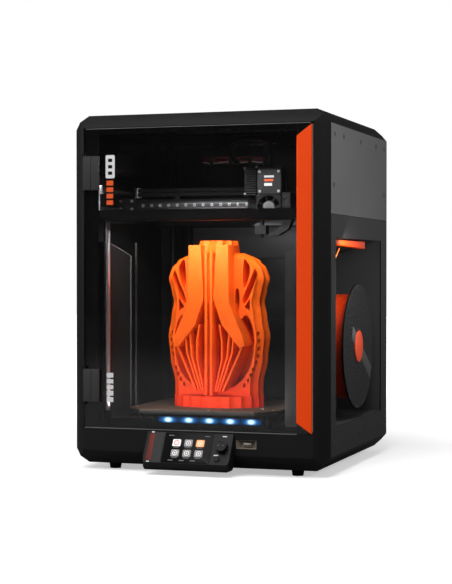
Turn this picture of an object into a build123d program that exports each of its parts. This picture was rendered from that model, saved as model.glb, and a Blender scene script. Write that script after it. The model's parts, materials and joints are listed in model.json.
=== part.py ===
from build123d import *
import math
import os

# Enclosed desktop 3-D printer with a moving gantry, a bed that rises and falls, and a spool bay in one side.
# Millimetres. X runs to the right seen from the door, Y to the back, Z up.
# The origin is at floor level, under the middle of the whole object's box.

# Case
WIDTH = 415.0
HEIGHT = 555.0
FRONT = -193.0
BACK = 222.0
SIDE = WIDTH / 2
FLOOR_GAP = 10.0
CHAMFER = 21.5
SHEET = 2.0
FLAT_X = SIDE - CHAMFER
FLAT_FRONT = FRONT + CHAMFER
FLAT_BACK = BACK - CHAMFER
PAN_TOP = FLOOR_GAP + CHAMFER
ROOF_EDGE = HEIGHT - CHAMFER
SILL = 67.5
SEAM_Z = 397.0
GAP = 0.5
LID_HOLE = (-170.0, 170.0, -155.0, 184.0)
SCREW_HEAD_R = 3.1
FOOT_PLACES = ((-150, -150), (-150, 178), (150, -150), (150, 178))
USB = (65.0, 97.0, 42.2, 55.4)
USB_DEPTH = 9.0
EXHAUST_X = 90.0
EXHAUST_Z = 470.0

# Door
DOOR_T = 4.0
DOOR_X = FLAT_X - GAP
DOOR_Z0 = SILL + GAP
DOOR_Z1 = ROOF_EDGE - GAP
PIN_X = -183.0
PIN_Y = FRONT - 2.5
PIN_R = 1.5
COVER_X = (-184.5, -158.5)
COVER_T = 5.5
STRIP_T = 3.0
STRIP = ((160.5, 83.6), (184, DOOR_Z0), (184, 530.3), (160.5, 513))
HINGE_Z = ((107.6, 158.3), (437.0, 489.5))

# Spool bay
BAY_X = 128.5
BAY_Y0 = -146.5
BAY_Y1 = 161.5
BAY_Z0 = 73.0
BAY_ROOF_IN = 340.0
BAY_ROOF_OUT = 363.5
WINDOW = (-143.0, 158.0, 75.0, 362.0)
LINER = 1.5
SPOOL_Y = 20.0
SPOOL_Z = 190.0
SPOOL_R = 100.0
SPOOL_X1 = 203.0
SPOOL_W = 67.0
SPOOL_X0 = SPOOL_X1 - SPOOL_W
WINDING_R = 84.0
SPOOL_BORE = 26.0
SPOOL_HUB = SPOOL_BORE + 12
SPOOL_FLANGE = 3.0
ARM_Y1 = 62.0
ARM_Z = (347.0, 359.0)
STRAND_R = 0.9
STRAND_ROUTE = (
    (196, -78, 346),
    (192, -108, 321),
    (189, -124, 288),
    (188, -122, 250),
    (188, -98, 216),
    (188, -66, 188),
)

# Build volume
DECK_Z = 60.0
RODS = ((-157.5, -165.0), (-157.5, 130.0), (119.5, 130.0))
ROD_R = 5.0
ROD_TOP = 389.0
SCREW_Y = -18.0
SCREW_X = (-168.0, 119.5)
SCREW_R = 4.0
SCREW_TOP = 358.0
BED_X0 = -143.0
BED_X1 = 107.0
BED_Y0 = -140.0
BED_Y1 = 95.0
SHEET_TOP = 93.5
BED_CORNER = 30.0
PRINT_X = -12.0
PRINT_Y = -45.0
PRINT_WALL = 5.0
PRINT_BASE = 3.0
PRINT_SECTIONS = (
    (SHEET_TOP, 73, 46),
    (110, 76, 48),
    (207, 87, 55),
    (263, 78, 50),
    (302, 86, 54),
    (335, 58, 42),
    (343, 34, 30),
    (359.5, 32, 28),
)

# Gantry
FRAME_Z0 = 389.0
FRAME_Z1 = 406.0
RAIL_X = 192.0
RAIL_W = 12.0
RAIL_H = 8.0
BEAM_Y0 = -22.0
BEAM_Y1 = -2.0
BEAM_Z0 = 409.0
BEAM_Z1 = 429.0
BLOCK_X0 = 165.0
BLOCK_X1 = 202.0
NOZZLE_X = 62.0
NOZZLE_Y = -50.0
NOZZLE_Z = 364.0
HEAD_Z = 433.0
FAN_X = NOZZLE_X + 17
FAN_Z = 412.0
RAIL_HOLE_PITCH = 15.0
RAIL_HOLES = 21
MOTOR = 42.0
PULLEY_X = 172.0
PULLEY_Y = 186.0
PULLEY_R = 6.2
BELT_Z = 437.0
LOOM_R = 4.5

# Screen module
SCREEN_X0 = -77.0
SCREEN_X1 = 62.0
SCREEN_FRONT = -222.0
SCREEN_TOP_Y = -196.0
SCREEN_TOP_Z = 64.0
SCREEN_LIP_Z = 20.0
FACE_DY = SCREEN_FRONT - SCREEN_TOP_Y
FACE_DZ = SCREEN_LIP_Z - SCREEN_TOP_Z
FACE_LEN = math.hypot(FACE_DY, FACE_DZ)
FACE_MID = ((SCREEN_X0 + SCREEN_X1) / 2, (SCREEN_FRONT + SCREEN_TOP_Y) / 2, (SCREEN_TOP_Z + SCREEN_LIP_Z) / 2)
FACE_NORMAL = (0, FACE_DZ / FACE_LEN, -FACE_DY / FACE_LEN)
FACE = Plane(origin=FACE_MID, x_dir=(1, 0, 0), z_dir=FACE_NORMAL)
KNOB_U = 55.3
KNOB_V = 2.5
RESET_U = 49.5
RESET_V = -17.0

parts = {}


def block(x0, x1, y0, y1, z0, z1):
    size = Box(x1 - x0, y1 - y0, z1 - z0)
    return Pos((x0 + x1) / 2, (y0 + y1) / 2, (z0 + z1) / 2) * size


def post(x, y, z0, z1, r):
    return Pos(x, y, (z0 + z1) / 2) * Cylinder(r, z1 - z0)


def bar_x(x0, x1, y, z, r):
    return Pos((x0 + x1) / 2, y, z) * Rot(0, 90, 0) * Cylinder(r, x1 - x0)


def bar_y(x, y0, y1, z, r):
    return Pos(x, (y0 + y1) / 2, z) * Rot(90, 0, 0) * Cylinder(r, y1 - y0)


def on_face(u, v, w):
    return FACE.location * Pos(u, v, w)


def slab(points, plane, thickness):
    return extrude(plane * make_face(Polyline(*points, close=True)), thickness)


def together(name, solids):
    parts[name] = Compound(label=name, children=list(solids))


def one(name, shape):
    shape.label = name
    parts[name] = shape


def case_shell():
    y_mid = (FRONT + BACK) / 2
    z_mid = (FLOOR_GAP + HEIGHT) / 2
    outer = chamfer(Box(WIDTH, BACK - FRONT, HEIGHT - FLOOR_GAP).edges(), CHAMFER)
    inset = CHAMFER - (2 * SHEET - SHEET * math.sqrt(2))
    core = Box(WIDTH - 2 * SHEET, BACK - FRONT - 2 * SHEET, HEIGHT - FLOOR_GAP - 2 * SHEET)
    return Pos(0, y_mid, z_mid) * (outer - chamfer(core.edges(), inset))


def level(z0, z1):
    return block(-WIDTH, WIDTH, -WIDTH, WIDTH, z0, z1)


def screw_places():
    rows = [(y, 518.0) for y in (-150, -95, 15, 120, 180)]
    rows += [(-155, 441.0), (180, 441.0)]
    rows += [(-158, z) for z in (379, 337, 230, 126)]
    rows += [(174, z) for z in (377, 337, 234, 129, 50)]
    rows += [(-158, 53.0), (-99, 53.0), (11, 53.0), (116, 53.0)]
    return rows


def drill_sides(panel, x):
    for y, z in screw_places():
        panel -= bar_x(x - 5, x + 5, y, z, SCREW_HEAD_R + 0.2)
    return panel


def case():
    shell = case_shell()
    one("base_pan", shell & level(0, PAN_TOP))
    roof = shell & level(ROOF_EDGE, HEIGHT)
    roof -= block(*LID_HOLE, ROOF_EDGE, HEIGHT + 1)
    ledge = block(-176, 176, -161, 190, 550.5, 553) - block(-162, 162, -147, 176, 550, 554)
    one("top_frame", roof + ledge)

    strips = shell & level(PAN_TOP, ROOF_EDGE)
    posts = []
    for sx in (-1, 1):
        x0, x1 = sorted((sx * FLAT_X, sx * SIDE))
        jamb_x0, jamb_x1 = sorted((sx * FLAT_X, sx * (FLAT_X + SHEET)))
        front = strips & block(x0, x1, FRONT, FLAT_FRONT, PAN_TOP, ROOF_EDGE)
        front += block(jamb_x0, jamb_x1, FRONT + 3, FLAT_FRONT - 1.5, PAN_TOP, ROOF_EDGE)
        rear = strips & block(x0, x1, FLAT_BACK, BACK, PAN_TOP, ROOF_EDGE)
        rear += block(jamb_x0, jamb_x1, BACK - 8, BACK - 3, PAN_TOP, ROOF_EDGE)
        posts += [front, rear]
    together("corner_posts", posts)

    left = block(-SIDE, -SIDE + SHEET, FLAT_FRONT, FLAT_BACK, PAN_TOP, ROOF_EDGE)
    one("left_side_panel", drill_sides(left, -SIDE))
    upper = block(SIDE - SHEET, SIDE, FLAT_FRONT, FLAT_BACK, SEAM_Z + GAP, ROOF_EDGE)
    one("right_upper_panel", drill_sides(upper, SIDE))
    y0, y1, z0, z1 = WINDOW
    lower = block(SIDE - SHEET, SIDE, FLAT_FRONT, FLAT_BACK, PAN_TOP, SEAM_Z)
    lower -= block(SIDE - 9, SIDE + 9, y0, y1, z0, z1)
    one("right_lower_frame", drill_sides(lower, SIDE))

    heads = []
    for sx in (-1, 1):
        for y, z in screw_places():
            face = sx * (SIDE - 0.3)
            seat = sx * (SIDE - SHEET)
            head = bar_x(*sorted((face, seat)), y, z, SCREW_HEAD_R)
            stud = bar_x(*sorted((seat, seat - sx * 2)), y, z, 1.5)
            heads.append(head + stud - bar_x(*sorted((face, face - sx * 1.2)), y, z, 1.4))
    together("panel_screws", heads)

    together("rubber_feet", [Pos(x, y, FLOOR_GAP / 2) * Cone(8.5, 10, FLOOR_GAP) for x, y in FOOT_PLACES])


def front_and_back():
    fascia = block(-FLAT_X, FLAT_X, FRONT, FRONT + SHEET, PAN_TOP + GAP, SILL)
    fascia += block(-FLAT_X, FLAT_X, FRONT + SHEET, -172, SILL - SHEET, SILL)
    x0, x1, z0, z1 = USB
    fascia += block(x0 - 1, x1 + 1, FRONT + SHEET, FRONT + USB_DEPTH + SHEET, z0 - 1, z1 + 1)
    fascia -= block(x0, x1, FRONT - 1, FRONT + USB_DEPTH, z0, z1)
    one("front_fascia", fascia)

    rear = block(-FLAT_X, FLAT_X, BACK - SHEET, BACK, PAN_TOP, ROOF_EDGE)
    for k in range(11):
        z = 442 + 6 * k
        rear -= block(64, 116, BACK - 9, BACK + 9, z, z + 3)
    for k in range(9):
        z = 90 + 7 * k
        rear -= block(-60, 60, BACK - 9, BACK + 9, z, z + 3)
    rear -= block(-172, -118, BACK - 9, BACK + 9, 36, 64)
    one("rear_panel", rear)

    inlet = block(-171.5, -146, 196, BACK, 36.5, 63.5)
    inlet -= block(-168.5, -149, 203, BACK + 1, 41, 59)
    for z in (46, 54):
        inlet += block(-160, -158.5, 203, 217, z - 2, z + 2)
    bezel = block(-145.5, -118.5, 206, BACK, 36.5, 63.5)
    bezel -= block(-142, -122, 208, BACK + 1, 39.5, 60.5)
    inlet += bezel + block(-147, -145, 206, BACK, 36.5, 63.5)
    one("mains_inlet", inlet)
    rocker = slab([(214, -9.7), (219.5, -9.7), (221.5, 0), (219.5, 9.7), (214, 9.7)], Plane.YZ, 18)
    one("power_rocker", Pos(-141, 0, 50) * rocker)

    x, z = EXHAUST_X, EXHAUST_Z
    fan = block(x - 30, x + 30, 204, 219.5, z - 30, z + 30)
    fan -= bar_y(x, 200, 225, z, 28)
    fan += bar_y(x, 217.5, 219.5, z, 12)
    for turn in range(4):
        fan += Pos(x, 218.5, z) * Rot(0, 45 + 90 * turn, 0) * Pos(20, 0, 0) * Box(20, 2, 3)
    one("exhaust_fan_frame", fan)
    rotor = bar_y(x, 206, 217, z, 12)
    one("exhaust_fan_rotor", rotor + blades(x, 211.5, z, 11, 27, 8, 7))


def blades(x, y, z, r0, r1, depth, count):
    ring = []
    for k in range(count):
        fin = Pos(x, y, z) * Rot(0, 360 * k / count, 0) * Pos((r0 + r1) / 2, 0, 0)
        ring.append(fin * Rot(35, 0, 0) * Box(r1 - r0, 1.2, depth))
    return ring


def lid():
    plate = block(-169, 169, -154, 183, 553, HEIGHT)
    rim = block(-160, 160, -145, 174, 548, 553) - block(-157, 157, -142, 171, 547, 554)
    one("top_lid", plate + rim)


def door():
    glass = block(-DOOR_X, DOOR_X, FRONT, FRONT + DOOR_T, DOOR_Z0, DOOR_Z1)
    one("door_glass", fillet(glass.edges().filter_by(Axis.Y), 3))
    bar = slab(STRIP, Plane(origin=(0, FRONT, 0), x_dir=(1, 0, 0), z_dir=(0, -1, 0)), STRIP_T)
    one("door_orange_strip", chamfer(bar.faces().sort_by(Axis.Y)[0].edges(), 0.8))
    covers = []
    pins = []
    for z0, z1 in HINGE_Z:
        cover = block(*COVER_X, FRONT - COVER_T, FRONT, z0, z1)
        cover = fillet(cover.edges().filter_by(Axis.Z).group_by(Axis.Y)[0], 2)
        cover -= block(-171.2, -169.8, FRONT - 9, FRONT - 5, z0 - 1, z1 + 1)
        covers.append(cover - post(PIN_X, PIN_Y, z0 - 1, z1 + 1, PIN_R + 0.08))
        pin = post(PIN_X, PIN_Y, z0 - 4, z1 + 4, PIN_R)
        for low in (z0 - 4.3, z1 + 0.3):
            pin += post(PIN_X, PIN_Y, low, low + 4, 2.3)
            pin += block(-187.2, -185.9, FRONT - 3.2, FRONT, low, low + 4)
            pin += block(-185.9, PIN_X, FRONT - 3.2, FRONT - 0.2, low, low + 4)
        pins.append(pin)
    together("door_hinge_covers", covers)
    together("door_hinge_pins", pins)


def spool_bay():
    outer = [(BAY_X, BAY_Z0), (SIDE - SHEET, BAY_Z0), (SIDE - SHEET, BAY_ROOF_OUT), (197, BAY_ROOF_OUT)]
    outer.append((BAY_X, BAY_ROOF_IN))
    x, z = BAY_X + LINER, BAY_Z0 + LINER
    inner = [(x, z), (SIDE, z), (SIDE, BAY_ROOF_OUT - LINER), (197, BAY_ROOF_OUT - LINER)]
    inner.append((x, BAY_ROOF_IN - LINER))
    back = Plane(origin=(0, BAY_Y1, 0), x_dir=(1, 0, 0), z_dir=(0, -1, 0))
    hollow = Plane(origin=(0, BAY_Y1 - LINER, 0), x_dir=(1, 0, 0), z_dir=(0, -1, 0))
    length = BAY_Y1 - BAY_Y0
    liner = slab(outer, back, length) - slab(inner, hollow, length - 2 * LINER)
    liner -= bar_x(BAY_X - 1, BAY_X + 3, SPOOL_Y, SPOOL_Z, 8)
    one("spool_bay_liner", liner)

    axle = bar_x(BAY_X - 2, 131.5, SPOOL_Y, SPOOL_Z, 7.5) + bar_x(130, 134.5, SPOOL_Y, SPOOL_Z, 20)
    axle += bar_x(134.5, SPOOL_X1 - 3, SPOOL_Y, SPOOL_Z, 11)
    one("spool_axle", axle)

    x0, x1 = SPOOL_X0, SPOOL_X1
    reel = bar_x(x0, x0 + SPOOL_FLANGE, SPOOL_Y, SPOOL_Z, SPOOL_R)
    reel += bar_x(x1 - SPOOL_FLANGE, x1, SPOOL_Y, SPOOL_Z, SPOOL_R)
    reel += bar_x(x0, x1, SPOOL_Y, SPOOL_Z, SPOOL_HUB)
    reel -= bar_x(x0 - 1, x1 - 2, SPOOL_Y, SPOOL_Z, SPOOL_BORE)
    one("spool_reel", reel)
    winding = bar_x(x0 + SPOOL_FLANGE, x1 - SPOOL_FLANGE, SPOOL_Y, SPOOL_Z, WINDING_R)
    one("filament_winding", winding - bar_x(x0, x1, SPOOL_Y, SPOOL_Z, SPOOL_HUB))

    low, high = ARM_Z
    arm = [(-143, low + 4), (-126, low), (ARM_Y1, low), (ARM_Y1, high), (-143, high)]
    one("filament_guide_arm", slab(arm, Plane(origin=(190, 0, 0), x_dir=(0, 1, 0), z_dir=(1, 0, 0)), 13))
    one("filament_strand", cord(STRAND_ROUTE, STRAND_R))


def cord(points, radius):
    # Each corner of the route is rounded by an arc that takes up to this share of its shorter run.
    share = 0.45
    radii = []
    for k in range(1, len(points) - 1):
        a, b, c = (Vector(*p) for p in points[k - 1:k + 2])
        turn = (b - a).get_angle(c - b)
        run = min((b - a).length, (c - b).length)
        radii.append(share * run / math.tan(math.radians(turn) / 2))
    print("cord radii", [round(r, 1) for r in radii])
    path = FilletPolyline(*points, radius=radii)
    start = Plane(origin=path @ 0, z_dir=path % 0)
    return sweep(start * Circle(radius), path=path)


def chamber():
    deck = block(-204, 127, -171.5, 195, DECK_Z - 2, DECK_Z)
    for x in SCREW_X:
        deck -= post(x, SCREW_Y, DECK_Z - 5, DECK_Z + 5, 7)
    one("chamber_floor", deck)

    side = [(-155, DECK_Z), (-60, DECK_Z), (-60, 336), (-155, 357)]
    core = [(-153.5, DECK_Z - 1), (-61.5, DECK_Z - 1), (-61.5, 334.2), (-153.5, 354.6)]
    cover = slab(side, Plane(origin=(-204, 0, 0), x_dir=(0, 1, 0), z_dir=(1, 0, 0)), 44)
    cover -= slab(core, Plane(origin=(-206, 0, 0), x_dir=(0, 1, 0), z_dir=(1, 0, 0)), 44.5)
    one("left_inner_cover", cover)

    lamp = block(-72, 112, -186, -177, SILL, 87)
    one("status_light_bar", chamfer(lamp.edges().filter_by(Axis.X).group_by(Axis.Z)[-1], 2))

    together("z_rods", [post(x, y, DECK_Z, ROD_TOP, ROD_R) for x, y in RODS])

    supply = block(-60, 60, 20, 190, 12, 44)
    for k in range(12):
        supply -= block(-50, 50, 40 + 10 * k, 44 + 10 * k, 43, 45)
    one("power_supply", supply)
    board = block(-140, -72, 60, 185, 16, 17.6)
    for x, y, w, d, h in ((-125, 80, 14, 14, 12), (-100, 90, 18, 18, 4), (-85, 150, 12, 40, 14), (-120, 130, 20, 30, 9)):
        board += block(x - w / 2, x + w / 2, y - d / 2, y + d / 2, 17.6, 17.6 + h)
    for x in (-136, -76):
        for y in (64, 181):
            board += post(x, y, 12, 16, 3)
    one("control_board", board)


def stepper(x, y, z0, z1, shaft_top):
    body = Pos(x, y, (z0 + z1) / 2) * Box(MOTOR, MOTOR, z1 - z0)
    body = chamfer(body.edges().filter_by(Axis.Z), 4)
    body -= Pos(x, y, z0 + 10) * (Box(MOTOR + 2, MOTOR + 2, 0.8) - Box(MOTOR - 2, MOTOR - 2, 2))
    body += post(x, y, z1, z1 + 2, 11)
    return body + post(x, y, z1, shaft_top, 2.5)


def motors():
    motors_all = [stepper(x, SCREW_Y, 17, 54, 58) for x in SCREW_X]
    motors_all += [stepper(sx * PULLEY_X, PULLEY_Y, 390, 428, 450) for sx in (-1, 1)]
    together("stepper_motors", motors_all)
    for name, x in zip(("left", "right"), SCREW_X):
        thread = post(x, SCREW_Y, 60, SCREW_TOP, SCREW_R) + post(x, SCREW_Y, 57.2, 72, 6.4)
        one("lead_screw_" + name, thread - post(x, SCREW_Y, 56, 60, 2.55))
    for name, sx in (("left", -1), ("right", 1)):
        pulley = post(sx * PULLEY_X, PULLEY_Y, 433, 447, PULLEY_R)
        for z in (433, 446):
            pulley += post(sx * PULLEY_X, PULLEY_Y, z, z + 1.5, 8)
        one("drive_pulley_" + name, pulley - post(sx * PULLEY_X, PULLEY_Y, 430, 452, 2.55))
    belts = []
    for sx in (-1, 1):
        x0, x1 = sorted((sx * (PULLEY_X + PULLEY_R + 0.1), sx * (PULLEY_X + PULLEY_R + 1.5)))
        belts.append(block(x0, x1, -160, PULLEY_Y, BELT_Z, BELT_Z + 6))
    together("y_belts", belts)


def bed():
    carrier = block(-150, 112, -150, 120, 72, 75)
    carrier += block(-150, 112, -173, -150, 70, 82) + block(-150, 112, 118, 138, 70, 82)
    for x, y in RODS:
        carrier += post(x, y, 68, 92, 8)
        carrier -= post(x, y, 60, 100, ROD_R + 0.1)
    carrier += block(-179, -149, -29, -7, 72, 84)
    carrier += block(108.5, 127.2, -29, -7, 72, 84)
    for x in SCREW_X:
        carrier -= post(x, SCREW_Y, 60, 100, 6.7)
    for x in (-120, 84):
        for y in (-120, 78):
            carrier += post(x, y, 75, 86, 5)
    one("bed_carrier", carrier)

    def plate(z0, z1, corner):
        x, y = (BED_X0 + BED_X1) / 2, (BED_Y0 + BED_Y1) / 2
        flat = Pos(x, y, (z0 + z1) / 2) * Box(BED_X1 - BED_X0, BED_Y1 - BED_Y0, z1 - z0)
        return chamfer(flat.edges().filter_by(Axis.Z), corner)

    one("heatbed", plate(86, 92.5, BED_CORNER))
    one("print_sheet", plate(92.5, SHEET_TOP, BED_CORNER))

    outer = [Pos(PRINT_X, PRINT_Y, z) * Ellipse(rx, ry) for z, rx, ry in PRINT_SECTIONS]
    inner = [Pos(PRINT_X, PRINT_Y, z) * Ellipse(rx - PRINT_WALL, ry - PRINT_WALL) for z, rx, ry in PRINT_SECTIONS]
    hollow = loft(inner, ruled=True) - level(0, SHEET_TOP + PRINT_BASE)
    one("sample_print", loft(outer, ruled=True) - hollow)


def gantry_frame():
    ring = block(-185, 185, -186, -158, FRAME_Z0, FRAME_Z1) + block(-204, 204, 118, 142, FRAME_Z0, FRAME_Z1)
    ring += block(-204, 204, -170, -158, FRAME_Z0, FRAME_Z1)
    for sx in (-1, 1):
        x0, x1 = sorted((sx * 180, sx * 204))
        ring += block(x0, x1, -158, 160, FRAME_Z0, FRAME_Z1)
        x0, x1 = sorted((sx * 149, sx * 162))
        ring += block(x0, x1, 142, 164, FRAME_Z0, 431)
        x0, x1 = sorted((sx * 149, sx * 196))
        ring += block(x0, x1, 160, 206, 428, 431) - post(sx * PULLEY_X, PULLEY_Y, 420, 440, 11.5)
    one("gantry_frame", ring)
    rails = []
    for sx in (-1, 1):
        x = sx * RAIL_X
        rails.append(block(x - RAIL_W / 2, x + RAIL_W / 2, -150, 160, FRAME_Z1, FRAME_Z1 + RAIL_H))
    together("y_rails", rails)

    blocks = []
    for sx in (-1, 1):
        x0, x1 = sorted((sx * BLOCK_X0, sx * BLOCK_X1))
        piece = block(x0, x1, BEAM_Y0, 22, 409, 432)
        x0, x1 = sx * RAIL_X - RAIL_W / 2 - 0.2, sx * RAIL_X + RAIL_W / 2 + 0.2
        piece -= block(x0, x1, -40, 40, 400, FRAME_Z1 + RAIL_H + 0.2)
        blocks.append(chamfer(piece.edges().filter_by(Axis.Y).group_by(Axis.Z)[-1], 3))
    together("joint_blocks", blocks)
    beam = block(-BLOCK_X0, BLOCK_X0, BEAM_Y0, BEAM_Y1, BEAM_Z0, BEAM_Z1)
    beam -= block(-BLOCK_X0 - 1, BLOCK_X0 + 1, BEAM_Y0 + 2, BEAM_Y1 - 2, BEAM_Z0 + 2, BEAM_Z1 - 2)
    one("x_beam", beam)
    rail = block(-162, 162, BEAM_Y0 - RAIL_H, BEAM_Y0, 413, 425)
    for k in range(RAIL_HOLES):
        rail -= bar_y((k - RAIL_HOLES // 2) * RAIL_HOLE_PITCH, -40, BEAM_Y0 - RAIL_H + 3, 419, 3)
    one("x_rail", rail)


def print_head():
    x, y, z = NOZZLE_X, NOZZLE_Y, HEAD_Z
    slider = block(x - 22, x + 24, -35, -24.5, 406, 432) - block(0, 120, -30.2, -20, 412.8, 425.2)
    slider += block(x - 28, x + 38, -39, -35, 398, z + 36)
    one("x_carriage", slider)

    sink = block(x - 30, x - 5, -66, -39, z - 4, z + 46)
    core = block(x - 5, x + 36, -56, -39, z, z + 44)
    one("extruder_body", chamfer(sink.edges().filter_by(Axis.Y), 3) + core)
    cover = block(x - 3, x + 37, -68, -56, z, z + 40)
    one("gearbox_cover", fillet(cover.edges().filter_by(Axis.Y), 3))

    hotend = Pos(x, y, NOZZLE_Z + 3) * Cone(0.8, 4, 6)
    hotend += block(x - 9, x + 9, y - 10, y + 8, 370, 384) + post(x, y, 384, 399, 3.5)
    for k in range(5):
        hotend += post(x, y, 399 + 5 * k, 402 + 5 * k, 10)
    hotend += post(x, y, 399, z - 4, 4)
    one("hotend", hotend)

    fan = block(FAN_X - 20, FAN_X + 20, -72, -62, FAN_Z - 20, FAN_Z + 20)
    fan = fillet(fan.edges().filter_by(Axis.Y), 3)
    fan -= bar_y(FAN_X, -80, -60, FAN_Z, 18.5)
    fan += bar_y(FAN_X, -64, -62, FAN_Z, 10)
    for turn in range(4):
        fan += Pos(FAN_X, -63, FAN_Z) * Rot(0, 20 + 90 * turn, 0) * Pos(14, 0, 0) * Box(11, 2, 2)
    one("hotend_fan_frame", fan)
    rotor = bar_y(FAN_X, -72, -64.5, FAN_Z, 10.5)
    one("hotend_fan_rotor", rotor + blades(FAN_X, -68.3, FAN_Z, 10, 17.8, 5, 7))

    duct = block(x + 38, x + 52, -68, -42, z - 42, z + 2)
    outline = [(x + 38, z - 42), (x + 52, z - 42), (x + 46, 378), (x + 30, 368), (x + 14, 366.5)]
    outline += [(x + 14, 371), (x + 28, 376)]
    duct += slab(outline, Plane(origin=(0, -44, 0), x_dir=(1, 0, 0), z_dir=(0, -1, 0)), 16)
    one("blower_duct", duct)


def screen_module():
    profile = [(FRONT, SCREEN_TOP_Z), (SCREEN_TOP_Y, SCREEN_TOP_Z), (SCREEN_FRONT, SCREEN_LIP_Z), (SCREEN_FRONT, 13)]
    profile += [(-218, 8.5), (-200, 8.5), (FRONT, PAN_TOP)]
    side = Plane(origin=(SCREEN_X0, 0, 0), x_dir=(0, 1, 0), z_dir=(1, 0, 0))
    shell = slab(profile, side, SCREEN_X1 - SCREEN_X0)
    for end in (0, -1):
        shell = chamfer(shell.faces().sort_by(Axis.X)[end].edges().group_by(Axis.Y)[0], 2)
    shell -= on_face(-0.5, 0, 0) * Box(78, 50, 5)
    shell -= on_face(KNOB_U, KNOB_V, 0) * Cylinder(4.2, 16)
    shell -= on_face(RESET_U, RESET_V, 0) * Cylinder(4.2, 6)
    one("screen_shell", shell)
    panel = on_face(-0.5, 0, -1.25) * Box(77.6, 49.6, 2.5)
    one("display_panel", panel)
    one("knob_shaft", on_face(KNOB_U, KNOB_V, -0.5) * Cylinder(3, 10))
    knob = on_face(KNOB_U, KNOB_V, 6.4) * Cylinder(9.5, 8)
    knob = chamfer(knob.faces().sort_by(Axis.Y)[0].edges(), 0.8)
    one("jog_knob", knob - on_face(KNOB_U, KNOB_V, 3.4) * Cylinder(3.05, 2.4))
    one("reset_button", on_face(RESET_U, RESET_V, 0) * Cylinder(4, 3.6))


def cables():
    rear = [(-68, 219.5, 505), (-68, 196, 505), (-62, 160, 520), (-42, 118, 530), (-14, 82, 531), (12, 55, 528)]
    one("loom_rear", cord(rear, LOOM_R))
    head = [(12.2, 54.8, 528), (33.2, 33, 525.6), (52, 6, 520), (62, -22, 512), (66, -44, 500), (66, -46, 477.5)]
    one("loom_head", cord(head, LOOM_R))


case()
front_and_back()
lid()
door()
spool_bay()
chamber()
motors()
bed()
gantry_frame()
print_head()
screen_module()
cables()

os.makedirs("parts", exist_ok=True)
for name, shape in parts.items():
    export_step(shape, f"parts/{name}.step")
print(len(parts), "parts")
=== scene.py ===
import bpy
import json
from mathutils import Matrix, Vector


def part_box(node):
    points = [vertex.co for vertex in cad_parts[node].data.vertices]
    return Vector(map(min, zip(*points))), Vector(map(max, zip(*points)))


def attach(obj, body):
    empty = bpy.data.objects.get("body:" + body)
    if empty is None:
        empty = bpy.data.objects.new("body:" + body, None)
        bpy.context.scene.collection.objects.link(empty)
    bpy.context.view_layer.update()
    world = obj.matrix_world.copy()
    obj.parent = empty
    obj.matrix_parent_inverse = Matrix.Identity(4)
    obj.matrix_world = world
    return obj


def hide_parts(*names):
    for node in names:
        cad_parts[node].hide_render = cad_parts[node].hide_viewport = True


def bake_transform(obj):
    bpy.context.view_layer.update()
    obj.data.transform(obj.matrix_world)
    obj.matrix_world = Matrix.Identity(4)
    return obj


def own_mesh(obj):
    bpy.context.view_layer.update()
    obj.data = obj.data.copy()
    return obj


bl_info = {
    "name": "Enclosed desktop printer",
    "version": (1, 0, 0),
    "blender": (4, 5, 0),
    "location": "View3D > Sidebar > Printer",
    "description": "Models an enclosed filament printer round its packed frame",
    "category": "Add Mesh",
}

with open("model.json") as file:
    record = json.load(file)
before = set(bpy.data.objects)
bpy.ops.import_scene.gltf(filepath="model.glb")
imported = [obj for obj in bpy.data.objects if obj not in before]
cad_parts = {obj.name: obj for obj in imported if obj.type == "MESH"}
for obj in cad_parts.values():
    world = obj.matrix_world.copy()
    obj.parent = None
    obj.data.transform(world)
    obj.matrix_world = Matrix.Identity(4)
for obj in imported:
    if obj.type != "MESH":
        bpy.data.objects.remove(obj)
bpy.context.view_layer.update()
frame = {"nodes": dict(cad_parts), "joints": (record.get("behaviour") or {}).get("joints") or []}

import json
import math

import bmesh
import bpy
from mathutils import Matrix, Vector

MM = 0.001
NODES = frame["nodes"]
JOINTS = {joint["name"]: joint for joint in frame["joints"]}

CASE_LO = Vector((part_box("base_pan")[0].x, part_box("base_pan")[0].y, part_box("base_pan")[0].z))
CASE_HI = Vector((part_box("top_frame")[1].x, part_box("top_frame")[1].y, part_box("top_frame")[1].z))
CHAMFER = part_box("base_pan")[1].z - CASE_LO.z
SHEET = 2 * MM
DOOR_LO, DOOR_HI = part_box("door_glass")
PANEL_LO, PANEL_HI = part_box("display_panel")
FACE_OUT = -Vector(JOINTS["knob_press"]["axis"])
FACE_UP = FACE_OUT.cross(Vector((1, 0, 0)))


# ---------------------------------------------------------------- modelling helpers

def settle():
    if bpy.context.object and bpy.context.object.mode != "OBJECT":
        bpy.ops.object.mode_set(mode="OBJECT")
    bpy.ops.object.select_all(action="DESELECT")


def pick(*objects):
    settle()
    for o in objects:
        o.select_set(True)
    bpy.context.view_layer.objects.active = objects[0]


def apply_place():
    bpy.ops.object.transform_apply(location=True, rotation=True, scale=True)


def named(name):
    o = bpy.context.object
    o.name = name
    o.data.name = name
    return o


def slab(name, lo, hi):
    """A cube stretched between two corners."""
    settle()
    lo, hi = Vector(lo), Vector(hi)
    bpy.ops.mesh.primitive_cube_add(size=1, location=(lo + hi) / 2)
    bpy.context.object.scale = hi - lo
    apply_place()
    return named(name)


TURNS = {"X": (0, math.pi / 2, 0), "Y": (math.pi / 2, 0, 0), "Z": (0, 0, 0)}


def rod(name, axis, centre, radius, length, sides=48, tip=None):
    """A cylinder along an axis, or a cone where tip is given."""
    settle()
    bpy.ops.mesh.primitive_cone_add(
        vertices=sides, radius1=radius, radius2=radius if tip is None else tip, depth=length,
        location=centre, rotation=TURNS[axis])
    apply_place()
    return named(name)


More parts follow.
